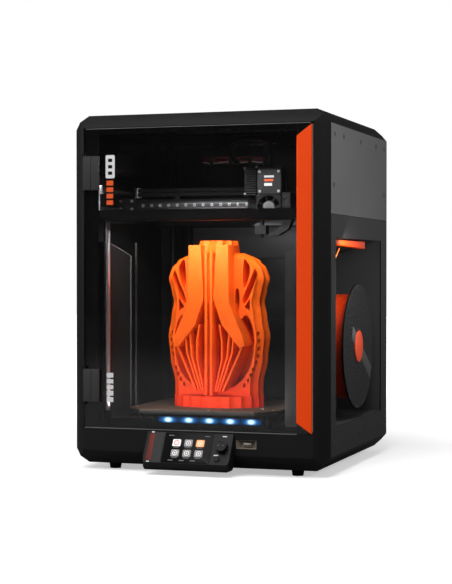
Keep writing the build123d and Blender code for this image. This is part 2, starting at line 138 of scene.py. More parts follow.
def ring(name, axis, centre, major, minor, sides=64, minor_sides=12):
    settle()
    bpy.ops.mesh.primitive_torus_add(
        major_radius=major, minor_radius=minor, major_segments=sides, minor_segments=minor_sides,
        location=centre, rotation=TURNS[axis])
    apply_place()
    return named(name)


def modify(o, kind, **values):
    pick(o)
    m = o.modifiers.new(kind, kind)
    for key, value in values.items():
        setattr(m, key, value)
    bpy.ops.object.modifier_apply(modifier=m.name)
    return o


def soften(o, width, segments=2, angle=30):
    """Rounds the edges sharper than the angle."""
    return modify(o, "BEVEL", width=width, segments=segments, limit_method="ANGLE",
                  angle_limit=math.radians(angle), harden_normals=False)


def carve(o, *tools):
    for tool in tools:
        modify(o, "BOOLEAN", object=tool, operation="DIFFERENCE", solver="EXACT")
        bpy.data.objects.remove(tool)
    return o


def cut(o, point, normal, fill=False):
    """Removes what lies on the side that the normal points to."""
    pick(o)
    bpy.ops.object.mode_set(mode="EDIT")
    bpy.ops.mesh.select_all(action="SELECT")
    bpy.ops.mesh.bisect(plane_co=point, plane_no=normal, use_fill=fill, clear_outer=True)
    settle()
    return o


def copy_of(o, name):
    pick(o)
    bpy.ops.object.duplicate()
    return named(name)


def turn(o, axis, angle, centre):
    spin = Matrix.Translation(centre) @ Matrix.Rotation(angle, 4, axis) @ Matrix.Translation(-Vector(centre))
    o.matrix_world = spin @ o.matrix_world
    pick(o)
    apply_place()
    return o


def join(name, objects):
    pick(*objects)
    bpy.ops.object.join()
    return named(name)


def choose(o, kind, wanted):
    """Opens the object and selects the verts, edges or faces that pass the test."""
    pick(o)
    bpy.ops.object.mode_set(mode="EDIT")
    bpy.ops.mesh.select_mode(type={"verts": "VERT", "edges": "EDGE", "faces": "FACE"}[kind])
    bpy.ops.mesh.select_all(action="DESELECT")
    mesh = bmesh.from_edit_mesh(o.data)
    for part in getattr(mesh, kind):
        part.select = wanted(part)
    bmesh.update_edit_mesh(o.data)


def round_edges(o, width, segments, wanted):
    """Rounds the edges whose two ends pass the test."""
    choose(o, "edges", lambda edge: wanted(edge.verts[0].co, edge.verts[1].co))
    bpy.ops.mesh.bevel(offset=width, segments=segments)
    settle()
    return o


def keep_faces(o, wanted):
    """Deletes every face whose middle and normal the test turns down."""
    choose(o, "faces", lambda face: not wanted(face.calc_center_median(), face.normal))
    bpy.ops.mesh.delete(type="FACE")
    settle()
    return o


def merge(o, distance=0.00001):
    pick(o)
    bpy.ops.object.mode_set(mode="EDIT")
    bpy.ops.mesh.select_all(action="SELECT")
    bpy.ops.mesh.remove_doubles(threshold=distance)
    bpy.ops.mesh.normals_make_consistent(inside=False)
    settle()
    return o


def smooth(o, angle=35):
    pick(o)
    bpy.ops.object.shade_smooth_by_angle(angle=math.radians(angle))
    settle()
    return o


def place(o, body, slot, material, replaces=(), angle=35):
    """Gives a finished piece its shading, finish and body."""
    smooth(o, angle)
    o.data.materials.clear()
    o.data.materials.append(material)
    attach(o, body)
    if replaces:
        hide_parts(*replaces)
    return o


def paint(node, material):
    """Gives a node of the frame a better finish."""
    mesh = NODES[node].data
    mesh.materials.clear()
    mesh.materials.append(material)


def strand(name, points, radius, sides=10):
    """A round cable, with its middle on a smooth curve steered by the points."""
    settle()
    line = bpy.data.curves.new(name, "CURVE")
    line.dimensions = "3D"
    spline = line.splines.new("NURBS")
    spline.points.add(len(points) - 1)
    for point, where in zip(spline.points, points):
        point.co = (*where, 1)
    spline.order_u = 3
    spline.use_endpoint_u = True
    spline.resolution_u = 8
    line.bevel_depth = radius
    line.bevel_resolution = max(1, sides // 4)
    line.use_fill_caps = True
    o = bpy.data.objects.new(name, line)
    bpy.context.scene.collection.objects.link(o)
    pick(o)
    bpy.ops.object.convert(target="MESH")
    o = named(name)
    merge(o)
    return o


def lay_on_face(o):
    """Moves a piece that was built flat round the origin onto the tilted screen."""
    middle = (PANEL_LO + PANEL_HI) / 2
    columns = Matrix((Vector((1, 0, 0)), FACE_UP, FACE_OUT)).transposed().to_4x4()
    o.matrix_world = Matrix.Translation(middle) @ columns @ o.matrix_world
    pick(o)
    apply_place()
    return o


# ---------------------------------------------------------------- shared shader effects

def new_group(name, inputs, outputs):
    tree = bpy.data.node_groups.new(name, "ShaderNodeTree")
    for label, kind, default in inputs:
        socket = tree.interface.new_socket(label, in_out="INPUT", socket_type=kind)
        socket.default_value = default
    for label, kind in outputs:
        tree.interface.new_socket(label, in_out="OUTPUT", socket_type=kind)
    start = tree.nodes.new("NodeGroupInput")
    end = tree.nodes.new("NodeGroupOutput")
    return tree, start, end


def link(tree, a, b):
    tree.links.new(a, b)


def math_node(tree, operation, a, b=None):
    node = tree.nodes.new("ShaderNodeMath")
    node.operation = operation
    for socket, value in zip(node.inputs, (a, b)):
        if value is None:
            continue
        if isinstance(value, (int, float)):
            socket.default_value = value
        else:
            link(tree, value, socket)
    return node.outputs[0]


def mix_colour(tree, factor, a, b, blend="MIX"):
    node = tree.nodes.new("ShaderNodeMix")
    node.data_type = "RGBA"
    node.blend_type = blend
    for socket, value in ((node.inputs[0], factor), (node.inputs[6], a), (node.inputs[7], b)):
        if isinstance(value, (int, float, tuple)):
            socket.default_value = value
        else:
            link(tree, value, socket)
    return node.outputs[2]


def noise(tree, vector, scale, detail=3.0):
    node = tree.nodes.new("ShaderNodeTexNoise")
    link(tree, vector, node.inputs["Vector"])
    if isinstance(scale, (int, float)):
        node.inputs["Scale"].default_value = scale
    else:
        link(tree, scale, node.inputs["Scale"])
    node.inputs["Detail"].default_value = detail
    return node.outputs["Fac"]


def grain_group():
    """Fine surface grain with a slow tone drift, for powder coat and moulded plastic."""
    tree, start, end = new_group(
        "Surface grain",
        [("Colour", "NodeSocketColor", (0.5, 0.5, 0.5, 1)), ("Roughness", "NodeSocketFloat", 0.5),
         ("Grain scale", "NodeSocketFloat", 900.0), ("Drift", "NodeSocketFloat", 0.25)],
        [("Colour", "NodeSocketColor"), ("Roughness", "NodeSocketFloat"), ("Height", "NodeSocketFloat")])
    where = tree.nodes.new("ShaderNodeTexCoord").outputs["Object"]
    fine = noise(tree, where, start.outputs["Grain scale"], 4.0)
    slow = noise(tree, where, 9.0, 2.0)
    lift = math_node(tree, "MULTIPLY", math_node(tree, "SUBTRACT", slow, 0.5), start.outputs["Drift"])
    speck = math_node(tree, "MULTIPLY", math_node(tree, "SUBTRACT", fine, 0.5), 0.35)
    gain = math_node(tree, "ADD", math_node(tree, "ADD", lift, speck), 1.0)
    tone = tree.nodes.new("ShaderNodeVectorMath")
    tone.operation = "SCALE"
    link(tree, start.outputs["Colour"], tone.inputs[0])
    link(tree, gain, tone.inputs["Scale"])
    link(tree, tone.outputs[0], end.inputs["Colour"])
    rough = math_node(tree, "ADD", start.outputs["Roughness"], math_node(tree, "MULTIPLY", lift, 0.4))
    link(tree, rough, end.inputs["Roughness"])
    link(tree, fine, end.inputs["Height"])
    return tree


def layer_group():
    """The stacked lines of a printed part, along Z, with a slow tone drift."""
    tree, start, end = new_group(
        "Print layers",
        [("Colour", "NodeSocketColor", (0.9, 0.2, 0.02, 1)), ("Shade", "NodeSocketColor", (0.6, 0.03, 0.01, 1)),
         ("Layer height", "NodeSocketFloat", 0.0008), ("Low", "NodeSocketFloat", 0.09),
         ("High", "NodeSocketFloat", 0.36)],
        [("Colour", "NodeSocketColor"), ("Height", "NodeSocketFloat")])
    where = tree.nodes.new("ShaderNodeTexCoord").outputs["Object"]
    parts = tree.nodes.new("ShaderNodeSeparateXYZ")
    link(tree, where, parts.inputs[0])
    step = math_node(tree, "DIVIDE", parts.outputs["Z"], start.outputs["Layer height"])
    wave = math_node(tree, "SINE", math_node(tree, "MULTIPLY", step, 2 * math.pi))
    link(tree, wave, end.inputs["Height"])
    span = math_node(tree, "SUBTRACT", start.outputs["High"], start.outputs["Low"])
    rise = math_node(tree, "DIVIDE", math_node(tree, "SUBTRACT", parts.outputs["Z"], start.outputs["Low"]),
        span)
    drift = math_node(tree, "MULTIPLY", math_node(tree, "SUBTRACT", noise(tree, where, 14.0, 2.0), 0.5), 0.5)
    # painted shade towards the bottom: the height mix fades the colour to the Shade colour below High
    mask = tree.nodes.new("ShaderNodeClamp")
    link(tree, math_node(tree, "ADD", rise, drift), mask.inputs[0])
    shade = mix_colour(tree, mask.outputs[0], start.outputs["Shade"], start.outputs["Colour"])
    link(tree, shade, end.inputs["Colour"])
    return tree


def dust_group():
    """A faint pale film on what faces up."""
    tree, start, end = new_group(
        "Dust film",
        [("Colour", "NodeSocketColor", (0.1, 0.1, 0.1, 1)), ("Dust", "NodeSocketColor", (0.35, 0.34, 0.32, 1)),
         ("Amount", "NodeSocketFloat", 0.1)],
        [("Colour", "NodeSocketColor")])
    where = tree.nodes.new("ShaderNodeTexCoord").outputs["Object"]
    parts = tree.nodes.new("ShaderNodeSeparateXYZ")
    link(tree, tree.nodes.new("ShaderNodeNewGeometry").outputs["Normal"], parts.inputs[0])
    up = math_node(tree, "MAXIMUM", parts.outputs["Z"], 0.0)
    patch = math_node(tree, "MULTIPLY", math_node(tree, "MULTIPLY", up, noise(tree, where, 60.0, 5.0)),
        start.outputs["Amount"])
    link(tree, mix_colour(tree, patch, start.outputs["Colour"], start.outputs["Dust"]), end.inputs["Colour"])
    return tree


GROUPS = {}


def use_group(tree, name, **values):
    node = tree.nodes.new("ShaderNodeGroup")
    node.node_tree = GROUPS[name]
    for label, value in values.items():
        node.inputs[label.replace("_", " ")].default_value = value
    return node


def blank(name, roughness, metallic, sockets):
    material = bpy.data.materials.new(name)
    material.use_nodes = True
    tree = material.node_tree
    shader = tree.nodes["Principled BSDF"]
    shader.inputs["Roughness"].default_value = roughness
    shader.inputs["Metallic"].default_value = metallic
    for label, value in sockets.items():
        shader.inputs[label].default_value = value
    return material, tree, shader


def bump(tree, shader, height, distance, strength=1.0):
    node = tree.nodes.new("ShaderNodeBump")
    node.inputs["Distance"].default_value = distance
    node.inputs["Strength"].default_value = strength
    link(tree, height, node.inputs["Height"])
    link(tree, node.outputs[0], shader.inputs["Normal"])


def coated(name, colour, roughness, scale=900.0, drift=0.25, depth=0.00004, metallic=0.0, dust=0.08, **sockets):
    """A finish with grain: powder coat, moulded or printed plastic, rubber, or metal."""
    material, tree, shader = blank(name, roughness, metallic, sockets)
    grain = use_group(tree, "grain", Colour=(*colour, 1), Roughness=roughness, Grain_scale=scale, Drift=drift)
    film = use_group(tree, "dust", Amount=dust)
    link(tree, grain.outputs["Colour"], film.inputs["Colour"])
    link(tree, film.outputs["Colour"], shader.inputs["Base Color"])
    link(tree, grain.outputs["Roughness"], shader.inputs["Roughness"])
    bump(tree, shader, grain.outputs["Height"], depth)
    return material


def layered(name, colour, shade, low, high, roughness=0.42, height=0.0009, **sockets):
    """Printed filament."""
    material, tree, shader = blank(name, roughness, 0.0, sockets)
    layers = use_group(tree, "layers", Colour=(*colour, 1), Shade=(*shade, 1), Layer_height=height, Low=low,
        High=high)
    link(tree, layers.outputs["Colour"], shader.inputs["Base Color"])
    bump(tree, shader, layers.outputs["Height"], 0.00008, 0.6)
    return material


def streaked(name, colour, roughness, stretch, **sockets):
    """Ground or drawn metal, with streaks along one axis."""
    material, tree, shader = blank(name, roughness, 1.0, sockets)
    mapping = tree.nodes.new("ShaderNodeMapping")
    mapping.inputs["Scale"].default_value = stretch
    link(tree, tree.nodes.new("ShaderNodeTexCoord").outputs["Object"], mapping.inputs["Vector"])
    lines = noise(tree, mapping.outputs[0], 40.0, 6.0)
    gain = math_node(tree, "ADD", math_node(tree, "MULTIPLY", lines, 0.25), roughness - 0.1)
    link(tree, gain, shader.inputs["Roughness"])
    tint = mix_colour(tree, lines, (*(c * 0.75 for c in colour), 1), (*colour, 1))
    link(tree, tint, shader.inputs["Base Color"])
    bump(tree, shader, lines, 0.00002)
    return material


def wound(name, colour, shade):
    """Filament wound on a reel, in turns beside each other along X."""
    material, tree, shader = blank(name, 0.38, 0.0, {"Subsurface Weight": 0.05})
    parts = tree.nodes.new("ShaderNodeSeparateXYZ")
    where = tree.nodes.new("ShaderNodeTexCoord").outputs["Object"]
    link(tree, where, parts.inputs[0])
    turns = math_node(tree, "MULTIPLY", parts.outputs["X"], 2 * math.pi / 0.00185)
    wave = math_node(tree, "SINE", math_node(tree, "ADD", turns,
        math_node(tree, "MULTIPLY", noise(tree, where, 30.0), 3.0)))
    # painted shade: the shade colour fills the grooves between the turns
    mask = math_node(tree, "ADD", math_node(tree, "MULTIPLY", wave, 0.5), 0.5)
    link(tree, mix_colour(tree, mask, (*shade, 1), (*colour, 1)), shader.inputs["Base Color"])
    bump(tree, shader, wave, 0.0004)
    return material


def braided(name, colour, accent):
    """A woven cable sleeve with a few coloured wires showing through."""
    material, tree, shader = blank(name, 0.6, 0.0, {})
    where = tree.nodes.new("ShaderNodeTexCoord").outputs["Object"]
    weave = tree.nodes.new("ShaderNodeTexChecker")
    link(tree, where, weave.inputs["Vector"])
    weave.inputs["Scale"].default_value = 900.0
    speck = math_node(tree, "GREATER_THAN", noise(tree, where, 220.0, 2.0), 0.62)
    dark = mix_colour(tree, weave.outputs["Fac"], (*colour, 1), (*(c * 2.2 for c in colour), 1))
    link(tree, mix_colour(tree, speck, dark, (*accent, 1)), shader.inputs["Base Color"])
    bump(tree, shader, weave.outputs["Fac"], 0.0002)
    return material


def clear_glass(name, tint, roughness=0.02, level=0.35):
    material, tree, shader = blank(name, roughness, 0.0, {"Transmission Weight": 1.0, "IOR": 1.45})
    shader.inputs["Base Color"].default_value = (*tint, 1)
    shader.inputs["Specular IOR Level"].default_value = level
    smear = noise(tree, tree.nodes.new("ShaderNodeTexCoord").outputs["Object"], 6.0, 4.0)
    haze = math_node(tree, "ADD", math_node(tree, "MULTIPLY", smear, 0.02), roughness)
    link(tree, haze, shader.inputs["Roughness"])
    return material


def glowing(name, colour, strength):
    """A lit surface, a little uneven as behind a diffuser."""
    material, tree, shader = blank(name, 0.4, 0.0, {"Emission Strength": strength})
    where = tree.nodes.new("ShaderNodeTexCoord").outputs["Object"]
    mottle = noise(tree, where, 120.0, 2.0)
    tint = mix_colour(tree, mottle, (*(c * 0.8 for c in colour), 1), (*colour, 1))
    link(tree, tint, shader.inputs["Emission Color"])
    link(tree, tint, shader.inputs["Base Color"])
    return material


def lamp_row(name, strength):
    """A diffuser lit by lamps behind it: bright cores that fade through blue to black."""
    material, tree, shader = blank(name, 0.4, 0.0, {"Base Color": (0, 0, 0, 1), "Specular IOR Level": 0.1})
    shader.inputs["Emission Strength"].default_value = strength
    where = tree.nodes.new("ShaderNodeSeparateXYZ")
    link(tree, tree.nodes.new("ShaderNodeTexCoord").outputs["Object"], where.inputs[0])
    along = math_node(tree, "DIVIDE", math_node(tree, "SUBTRACT", where.outputs["X"], LAMP_X[0]), LAMP_PITCH)
    wave = math_node(tree, "COSINE", math_node(tree, "MULTIPLY", along, 2 * math.pi))
    lobe = math_node(tree, "ADD", math_node(tree, "MULTIPLY", wave, 0.5), 0.5)
    rise = math_node(tree, "DIVIDE", math_node(tree, "SUBTRACT", where.outputs["Z"], LAMP_Z), LAMP_H / 2)
    across = math_node(tree, "MAXIMUM",
        math_node(tree, "SUBTRACT", 1.0, math_node(tree, "MULTIPLY", rise, rise)), 0.0)
    inside = math_node(tree, "MULTIPLY", math_node(tree, "GREATER_THAN", along, -0.5),
        math_node(tree, "LESS_THAN", along, 4.5))
    halo = math_node(tree, "ADD", math_node(tree, "MULTIPLY", math_node(tree, "POWER", lobe, 0.8), 0.9), 0.1)
    halo = math_node(tree, "MULTIPLY", math_node(tree, "MULTIPLY", halo, inside),
        math_node(tree, "POWER", across, 1.5))
    core = math_node(tree, "MULTIPLY", math_node(tree, "POWER", lobe, 5.0),
        math_node(tree, "POWER", across, 3.0))
    glow = mix_colour(tree, halo, (0, 0, 0, 1), (0.0, 0.09, 0.3, 1))
    link(tree, mix_colour(tree, core, glow, (0.55, 0.9, 1.0, 1)), shader.inputs["Emission Color"])
    return material


LAMPS = 5
LAMP_PITCH = 33.5 * MM
LAMP_H = 11 * MM
BAR_LO, BAR_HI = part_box("status_light_bar")
LAMP_X = [(BAR_LO.x + BAR_HI.x) / 2 + (k - (LAMPS - 1) / 2) * LAMP_PITCH for k in range(LAMPS)]
LAMP_Z = BAR_HI.z - 4.5 * MM
M = {}


def make_materials(finish):
    GROUPS["grain"] = grain_group()
    GROUPS["layers"] = layer_group()
    GROUPS["dust"] = dust_group()
    case, panel = tuple(finish.case_colour), tuple(finish.panel_colour)
    accent, print_colour = tuple(finish.accent_colour), tuple(finish.print_colour)
    matt = {"Specular IOR Level": 0.2}
    dim = {"Specular IOR Level": 0.12}
    M["case"] = coated("powder coat charcoal", case, 0.55, 1400, 0.12, 0.00003, dust=0.03, **dim)
    M["panel"] = coated("powder coat grey", panel, 0.34, 1400, 0.12, 0.00003, dust=0.03)
    M["lining"] = coated("grey lining", (0.05, 0.05, 0.052), 0.45, 1200, 0.15, 0.00003, dust=0.02, **matt)
    M["bay"] = coated("bay lining", (0.06, 0.06, 0.061), 0.45, 1200, 0.12, 0.00003, dust=0.03, **matt)
    M["inner"] = coated("inner sheet black", (0.009, 0.009, 0.0095), 0.45, 1200, 0.2, 0.00003, dust=0.03,
        **matt)
    M["frame_black"] = coated("anodised black", (0.006, 0.006, 0.0065), 0.5, 1500, 0.2, 0.00002, dust=0.02,
        **dim)
    M["black_plastic"] = coated("moulded black", (0.008, 0.008, 0.0085), 0.5, 1600, 0.15, 0.00004, dust=0.03,
        **matt)
    M["grey_plastic"] = coated("moulded dark grey", (0.028, 0.028, 0.029), 0.55, 1500, 0.2, 0.00005, dust=0.03,
        **matt)
    M["cover_grey"] = coated("hinge cover grey", (0.042, 0.042, 0.043), 0.5, 1500, 0.2, 0.00005, dust=0.0,
        **matt)
    M["dark_plastic"] = coated("printed dark", (0.01, 0.01, 0.0105), 0.5, 1100, 0.3, 0.00006, dust=0.03, **matt)
    M["accent"] = coated("accent orange", accent, 0.5, 1500, 0.05, 0.00002, dust=0.0, **matt)
    # the print and the filament fade to their shade colours lower down: painted shade
    M["print"] = layered("printed orange", print_colour, (0.85, 0.022, 0.002), 0.085, 0.20, 0.5, **matt)
    # the second colour is painted shade for the grooves between the turns
    M["winding"] = wound("wound filament", (0.80, 0.055, 0.004), (0.40, 0.016, 0.001))
    M["filament"] = layered("filament orange", (0.95, 0.17, 0.015), (0.8, 0.1, 0.01), 0.2, 0.36, 0.35, 0.02)
    M["steel"] = streaked("ground steel", (0.62, 0.62, 0.64), 0.28, (1, 1, 0.02))
    M["rail_steel"] = streaked("rail steel", (0.12, 0.12, 0.125), 0.34, (0.02, 1, 1))
    M["bolt_steel"] = coated("bolt steel", (0.75, 0.75, 0.77), 0.3, 900, 0.2, 0.00001, metallic=1.0, dust=0.0)
    M["thread_steel"] = streaked("thread steel", (0.08, 0.08, 0.082), 0.4, (1, 1, 14))
    # black oxide parts, and painted shade on the rear guide rods
    M["dark_steel"] = coated("black oxide", (0.008, 0.008, 0.009), 0.4, 1500, 0.2, 0.00002, metallic=0.2,
        dust=0.02, **matt)
    M["aluminium"] = coated("satin aluminium", (0.40, 0.40, 0.42), 0.4, 1200, 0.1, 0.00002, metallic=0.9,
        dust=0.02)
    M["sheet"] = coated("textured sheet", (0.065, 0.038, 0.024), 0.6, 2200, 0.3, 0.00012, metallic=0.1,
        dust=0.0)
    M["rubber"] = coated("black rubber", (0.01, 0.01, 0.01), 0.8, 700, 0.2, 0.0001, dust=0.03, **matt)
    M["winder_black"] = coated("reel black", (0.005, 0.005, 0.0055), 0.5, 1500, 0.1, 0.00003, dust=0.0, **dim)
    M["dot_grey"] = coated("mesh backing grey", (0.45, 0.45, 0.45), 0.5, 1500, 0.1, 0.00002, dust=0.0, **matt)
    M["label_grey"] = coated("reel label grey", (0.06, 0.062, 0.062), 0.5, 1500, 0.1, 0.00002, dust=0.0, **matt)
    M["white_ink"] = coated("white ink", (0.8, 0.8, 0.8), 0.45, 1500, 0.05, 0.00001, dust=0.0)
    M["orange_ink"] = coated("orange ink", (0.85, 0.10, 0.01), 0.45, 1500, 0.05, 0.00001, dust=0.0)
    # printed black on the door, and painted shade in the screw wells and bend reliefs
    M["black_ink"] = coated("black ink", (0.004, 0.004, 0.0045), 0.45, 1500, 0.05, 0.00001, dust=0.0, **dim)
    # light grey for strips along sheet and glass edges: painted highlight
    M["edge"] = coated("worn sheet edge", (0.2, 0.2, 0.2), 0.4, 300, 0.5, 0.00001, dust=0.0)
    # a warm light grey for the door glass's edge: painted highlight
    M["glass_edge"] = coated("glass edge", (0.36, 0.3, 0.25), 0.35, 300, 0.3, 0.00001, dust=0.0)
    M["board"] = coated("solder mask green", (0.01, 0.09, 0.035), 0.35, 800, 0.2, 0.00004)
    M["loom"] = braided("braided sleeve", (0.006, 0.006, 0.0065), (0.02, 0.003, 0.003))
    M["wire_red"] = coated("red wire", (0.16, 0.006, 0.01), 0.5, 900, 0.1, 0.00002, dust=0.0)
    M["wire_white"] = coated("white wire", (0.30, 0.27, 0.27), 0.5, 900, 0.1, 0.00002, dust=0.0)
    M["wire_plum"] = coated("plum wire", (0.035, 0.022, 0.026), 0.5, 900, 0.1, 0.00002, dust=0.0)
    M["label_disc"] = coated("disc grey", (0.075, 0.075, 0.077), 0.5, 1500, 0.1, 0.00002, dust=0.0)
    M["glass"] = clear_glass("door glass", (0.93, 0.94, 0.95), 0.01, 0.04)
    M["smoke"] = clear_glass("smoked lid", (0.05, 0.05, 0.055), 0.05, 0.3)
    M["lens"] = coated("recess warm grey", (0.19, 0.16, 0.13), 0.5, 1200, 0.2, 0.00003, dust=0.0, **matt)
    M["port"] = coated("port metal", (0.33, 0.27, 0.22), 0.4, 1200, 0.2, 0.00003, dust=0.0)
    M["screen"] = coated("screen black", (0.0015, 0.0015, 0.0017), 0.3, 1500, 0.02, 0.000005, dust=0.0, **dim)
    M["strip_red"] = coated("status strip red", (0.15, 0.018, 0.011), 0.5, 1200, 0.3, 0.00003, dust=0.0, **matt)
    M["ui_white"] = glowing("screen white", (0.8, 0.78, 0.77), 0.55)
    M["ui_grey"] = glowing("screen grey", (0.20, 0.19, 0.19), 0.55)
    M["ui_dim"] = glowing("screen dim", (0.07, 0.07, 0.07), 0.7)
    M["ui_red"] = glowing("screen red", (0.55, 0.05, 0.04), 0.6)
    M["ui_orange"] = glowing("screen orange", (0.85, 0.33, 0.09), 0.6)
    M["led"] = lamp_row("status lamps", finish.light_strength)


# ---------------------------------------------------------------- case

def chamfered_solid(name):
    o = slab(name, CASE_LO, CASE_HI)
    reach = [(CASE_LO[k], CASE_HI[k]) for k in range(3)]
    for a, b in ((0, 1), (1, 2), (0, 2)):
        for i in (0, 1):
            for j in (0, 1):
                normal = Vector((0, 0, 0))
                normal[a] = 2 * i - 1
                normal[b] = 2 * j - 1
                point = Vector((0, 0, 0))
                point[a] = reach[a][i] - normal[a] * CHAMFER
                point[b] = reach[b][j]
                cut(o, point, normal, fill=True)
    return o


def is_chamfer(normal):
    return max(abs(c) for c in normal) < 0.9


def sheet_from(solid, name, wanted, gap=0.00012):
    """Sheet metal along the faces of the solid that pass the test, each face its own folded strip."""
    o = keep_faces(copy_of(solid, name), wanted)
    pick(o)
    bpy.ops.object.mode_set(mode="EDIT")
    bpy.ops.mesh.select_all(action="SELECT")
    bpy.ops.mesh.inset(thickness=gap, use_individual=True, use_boundary=True)
    bpy.ops.mesh.select_all(action="INVERT")
    bpy.ops.mesh.delete(type="FACE")
    settle()
    modify(o, "SOLIDIFY", thickness=SHEET, offset=-1, use_even_offset=True)
    return soften(o, 0.0005, 2, 20)


def build_case():
    solid = chamfered_solid("case solid")
    low, high = CASE_LO.z + CHAMFER, CASE_HI.z - CHAMFER
    base = sheet_from(solid, "case_base", lambda c, n: c.z < low)
    top = sheet_from(solid, "case_top", lambda c, n: c.z > high and is_chamfer(n))
    posts = sheet_from(solid, "case_posts", lambda c, n: low < c.z < high and is_chamfer(n))
    bpy.data.objects.remove(solid)

    lid_lo, lid_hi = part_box("top_lid")
    flat = slab("roof", (CASE_LO.x + CHAMFER, CASE_LO.y + CHAMFER, CASE_HI.z - SHEET),
                (CASE_HI.x - CHAMFER, CASE_HI.y - CHAMFER, CASE_HI.z))
    hole = slab("hole", (lid_lo.x - MM, lid_lo.y - MM, CASE_HI.z - 9 * MM),
        (lid_hi.x + MM, lid_hi.y + MM, CASE_HI.z + 9 * MM))
    roof = soften(carve(flat, hole), 0.0004)
    ledge = slab("ledge", (lid_lo.x - 7 * MM, lid_lo.y - 7 * MM, 550.5 * MM),
        (lid_hi.x + 7 * MM, lid_hi.y + 7 * MM, 553 * MM))
    ledge = carve(ledge, slab("hole", (lid_lo.x + 7 * MM, lid_lo.y + 7 * MM, 0.54),
        (lid_hi.x - 7 * MM, lid_hi.y - 7 * MM, 0.56)))
    place(join("case_top", [top, roof, ledge]), "case", "case_charcoal", M["case"], ["top_frame"])
    place(base, "case", "case_charcoal", M["case"], ["base_pan"])

    jambs = [posts]
    for side in (-1, 1):
        x = side * (CASE_HI.x - CHAMFER + SHEET / 2)
        for y0, y1 in ((CASE_LO.y + 2.4 * MM, CASE_LO.y + 20 * MM), (CASE_HI.y - 8 * MM, CASE_HI.y - 3 * MM)):
            jambs.append(soften(slab("jamb", (x - SHEET / 2, y0, low + 0.1 * MM),
                (x + SHEET / 2, y1, high - 0.1 * MM)), 0.0003))
    place(join("case_posts", jambs), "case", "case_charcoal", M["case"], ["corner_posts"])

    # black discs where the posts meet the chamfers at the front: painted shade for the bend relief holes
    relief = []
    for x in (-1, 1):
        for z in (low, high):
            for y in (CASE_LO.y,):
                relief.append(rod("relief", "Y", (x * (CASE_HI.x - CHAMFER), y + 0.3 * MM, z), 1.1 * MM,
                    0.8 * MM, 16))
    place(join("bend_reliefs", relief), "case", "inner_black", M["black_ink"])

    for node in ("left_side_panel", "rear_panel"):
        paint(node, M["case"])
    paint("right_upper_panel", M["panel"])
    paint("right_lower_frame", M["case"])
    paint("spool_bay_liner", M["bay"])
    build_screws()
    paint("rubber_feet", M["rubber"])


def build_screws():
    """Countersunk panel screws in dark wells, one at each stud of the frame."""
    studs = copy_of(NODES["panel_screws"], "studs")
    merge(studs)
    pick(studs)
    bpy.ops.mesh.separate(type="LOOSE")
    found = list(bpy.context.selected_objects)
    heads, wells = [], []
    for stud in found:
        corners = [Vector(c) for c in stud.bound_box]
        lo, hi = corners[0], corners[6]
        side = 1 if lo.x > 0 else -1
        face = side * CASE_HI.x
        y, z = (lo.y + hi.y) / 2, (lo.z + hi.z) / 2
        # a black disc round each screw head: painted shade for the dark of its well
        well = rod("well", "X", (face - side * 0.35 * MM, y, z), 4.3 * MM, 0.9 * MM, 24)
        wells.append(soften(well, 0.0003, 2))
        head = rod("head", "X", (face - side * 0.27 * MM, y, z), 1.7 * MM, 0.5 * MM, 20)
        hexagon = rod("hex", "X", (face + side * 0.03 * MM, y, z), 0.95 * MM, 0.7 * MM, 6)
        heads.append(carve(head, hexagon))
        bpy.data.objects.remove(stud)
    place(join("panel_screw_wells", wells), "case", "inner_black", M["black_ink"])
    place(soften(join("panel_screw_heads", heads), 0.0001, 1), "case", "dark_steel", M["dark_steel"],
        ["panel_screws"])


def build_fascia():
    lo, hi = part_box("front_fascia")
    plate = slab("fascia", lo, (hi.x, lo.y + SHEET, hi.z))
    recess_x = (65 * MM, 97 * MM)
    recess_z = (42.2 * MM, 55.4 * MM)
    plate = carve(plate, slab("hole", (recess_x[0], lo.y - MM, recess_z[0]),
        (recess_x[1], lo.y + 3 * MM, recess_z[1])))
    sill = slab("sill", (lo.x, lo.y + SHEET, hi.z - SHEET), (hi.x, hi.y, hi.z))
    place(join("front_fascia_panel", [soften(plate, 0.0004), soften(sill, 0.0004)]), "case", "case_charcoal",
        M["case"], ["front_fascia"])
    # a light grey strip along the sill's top edge: painted highlight
    edge = slab("sill_edge", (lo.x + 2 * MM, lo.y - 0.25 * MM, hi.z - 1.1 * MM),
        (hi.x - 26 * MM, lo.y + 0.4 * MM, hi.z - 0.1 * MM))
    place(soften(edge, 0.0002), "case", "panel_grey", M["edge"])

    tray = slab("tray", (recess_x[0] - MM, lo.y + 0.2 * MM, recess_z[0] - MM),
        (recess_x[1] + MM, lo.y + 11 * MM, recess_z[1] + MM))
    choose(tray, "faces", lambda face: face.normal.y < -0.9)
    bpy.ops.mesh.inset(thickness=1.2 * MM)
    bpy.ops.mesh.extrude_region_move(TRANSFORM_OT_translate={"value": (0, 8.5 * MM, 0)})
    bpy.ops.transform.resize(value=(0.62, 1, 0.72))
    settle()
    place(soften(tray, 0.0003), "case", "case_charcoal", M["lens"])
    port = slab("port", (74.5 * MM, lo.y + 4 * MM, 45.8 * MM), (87.5 * MM, lo.y + 8.5 * MM, 51.2 * MM))
    port = carve(port, slab("slot", (75.3 * MM, lo.y + 3 * MM, 46.5 * MM),
        (86.7 * MM, lo.y + 8 * MM, 50.5 * MM)))
    place(soften(port, 0.0002), "case", "steel", M["port"])
    tongue = slab("tongue", (76 * MM, lo.y + 4.4 * MM, 48.6 * MM), (86 * MM, lo.y + 8 * MM, 50.1 * MM))
    place(soften(tongue, 0.0002), "case", "black_plastic", M["white_ink"])


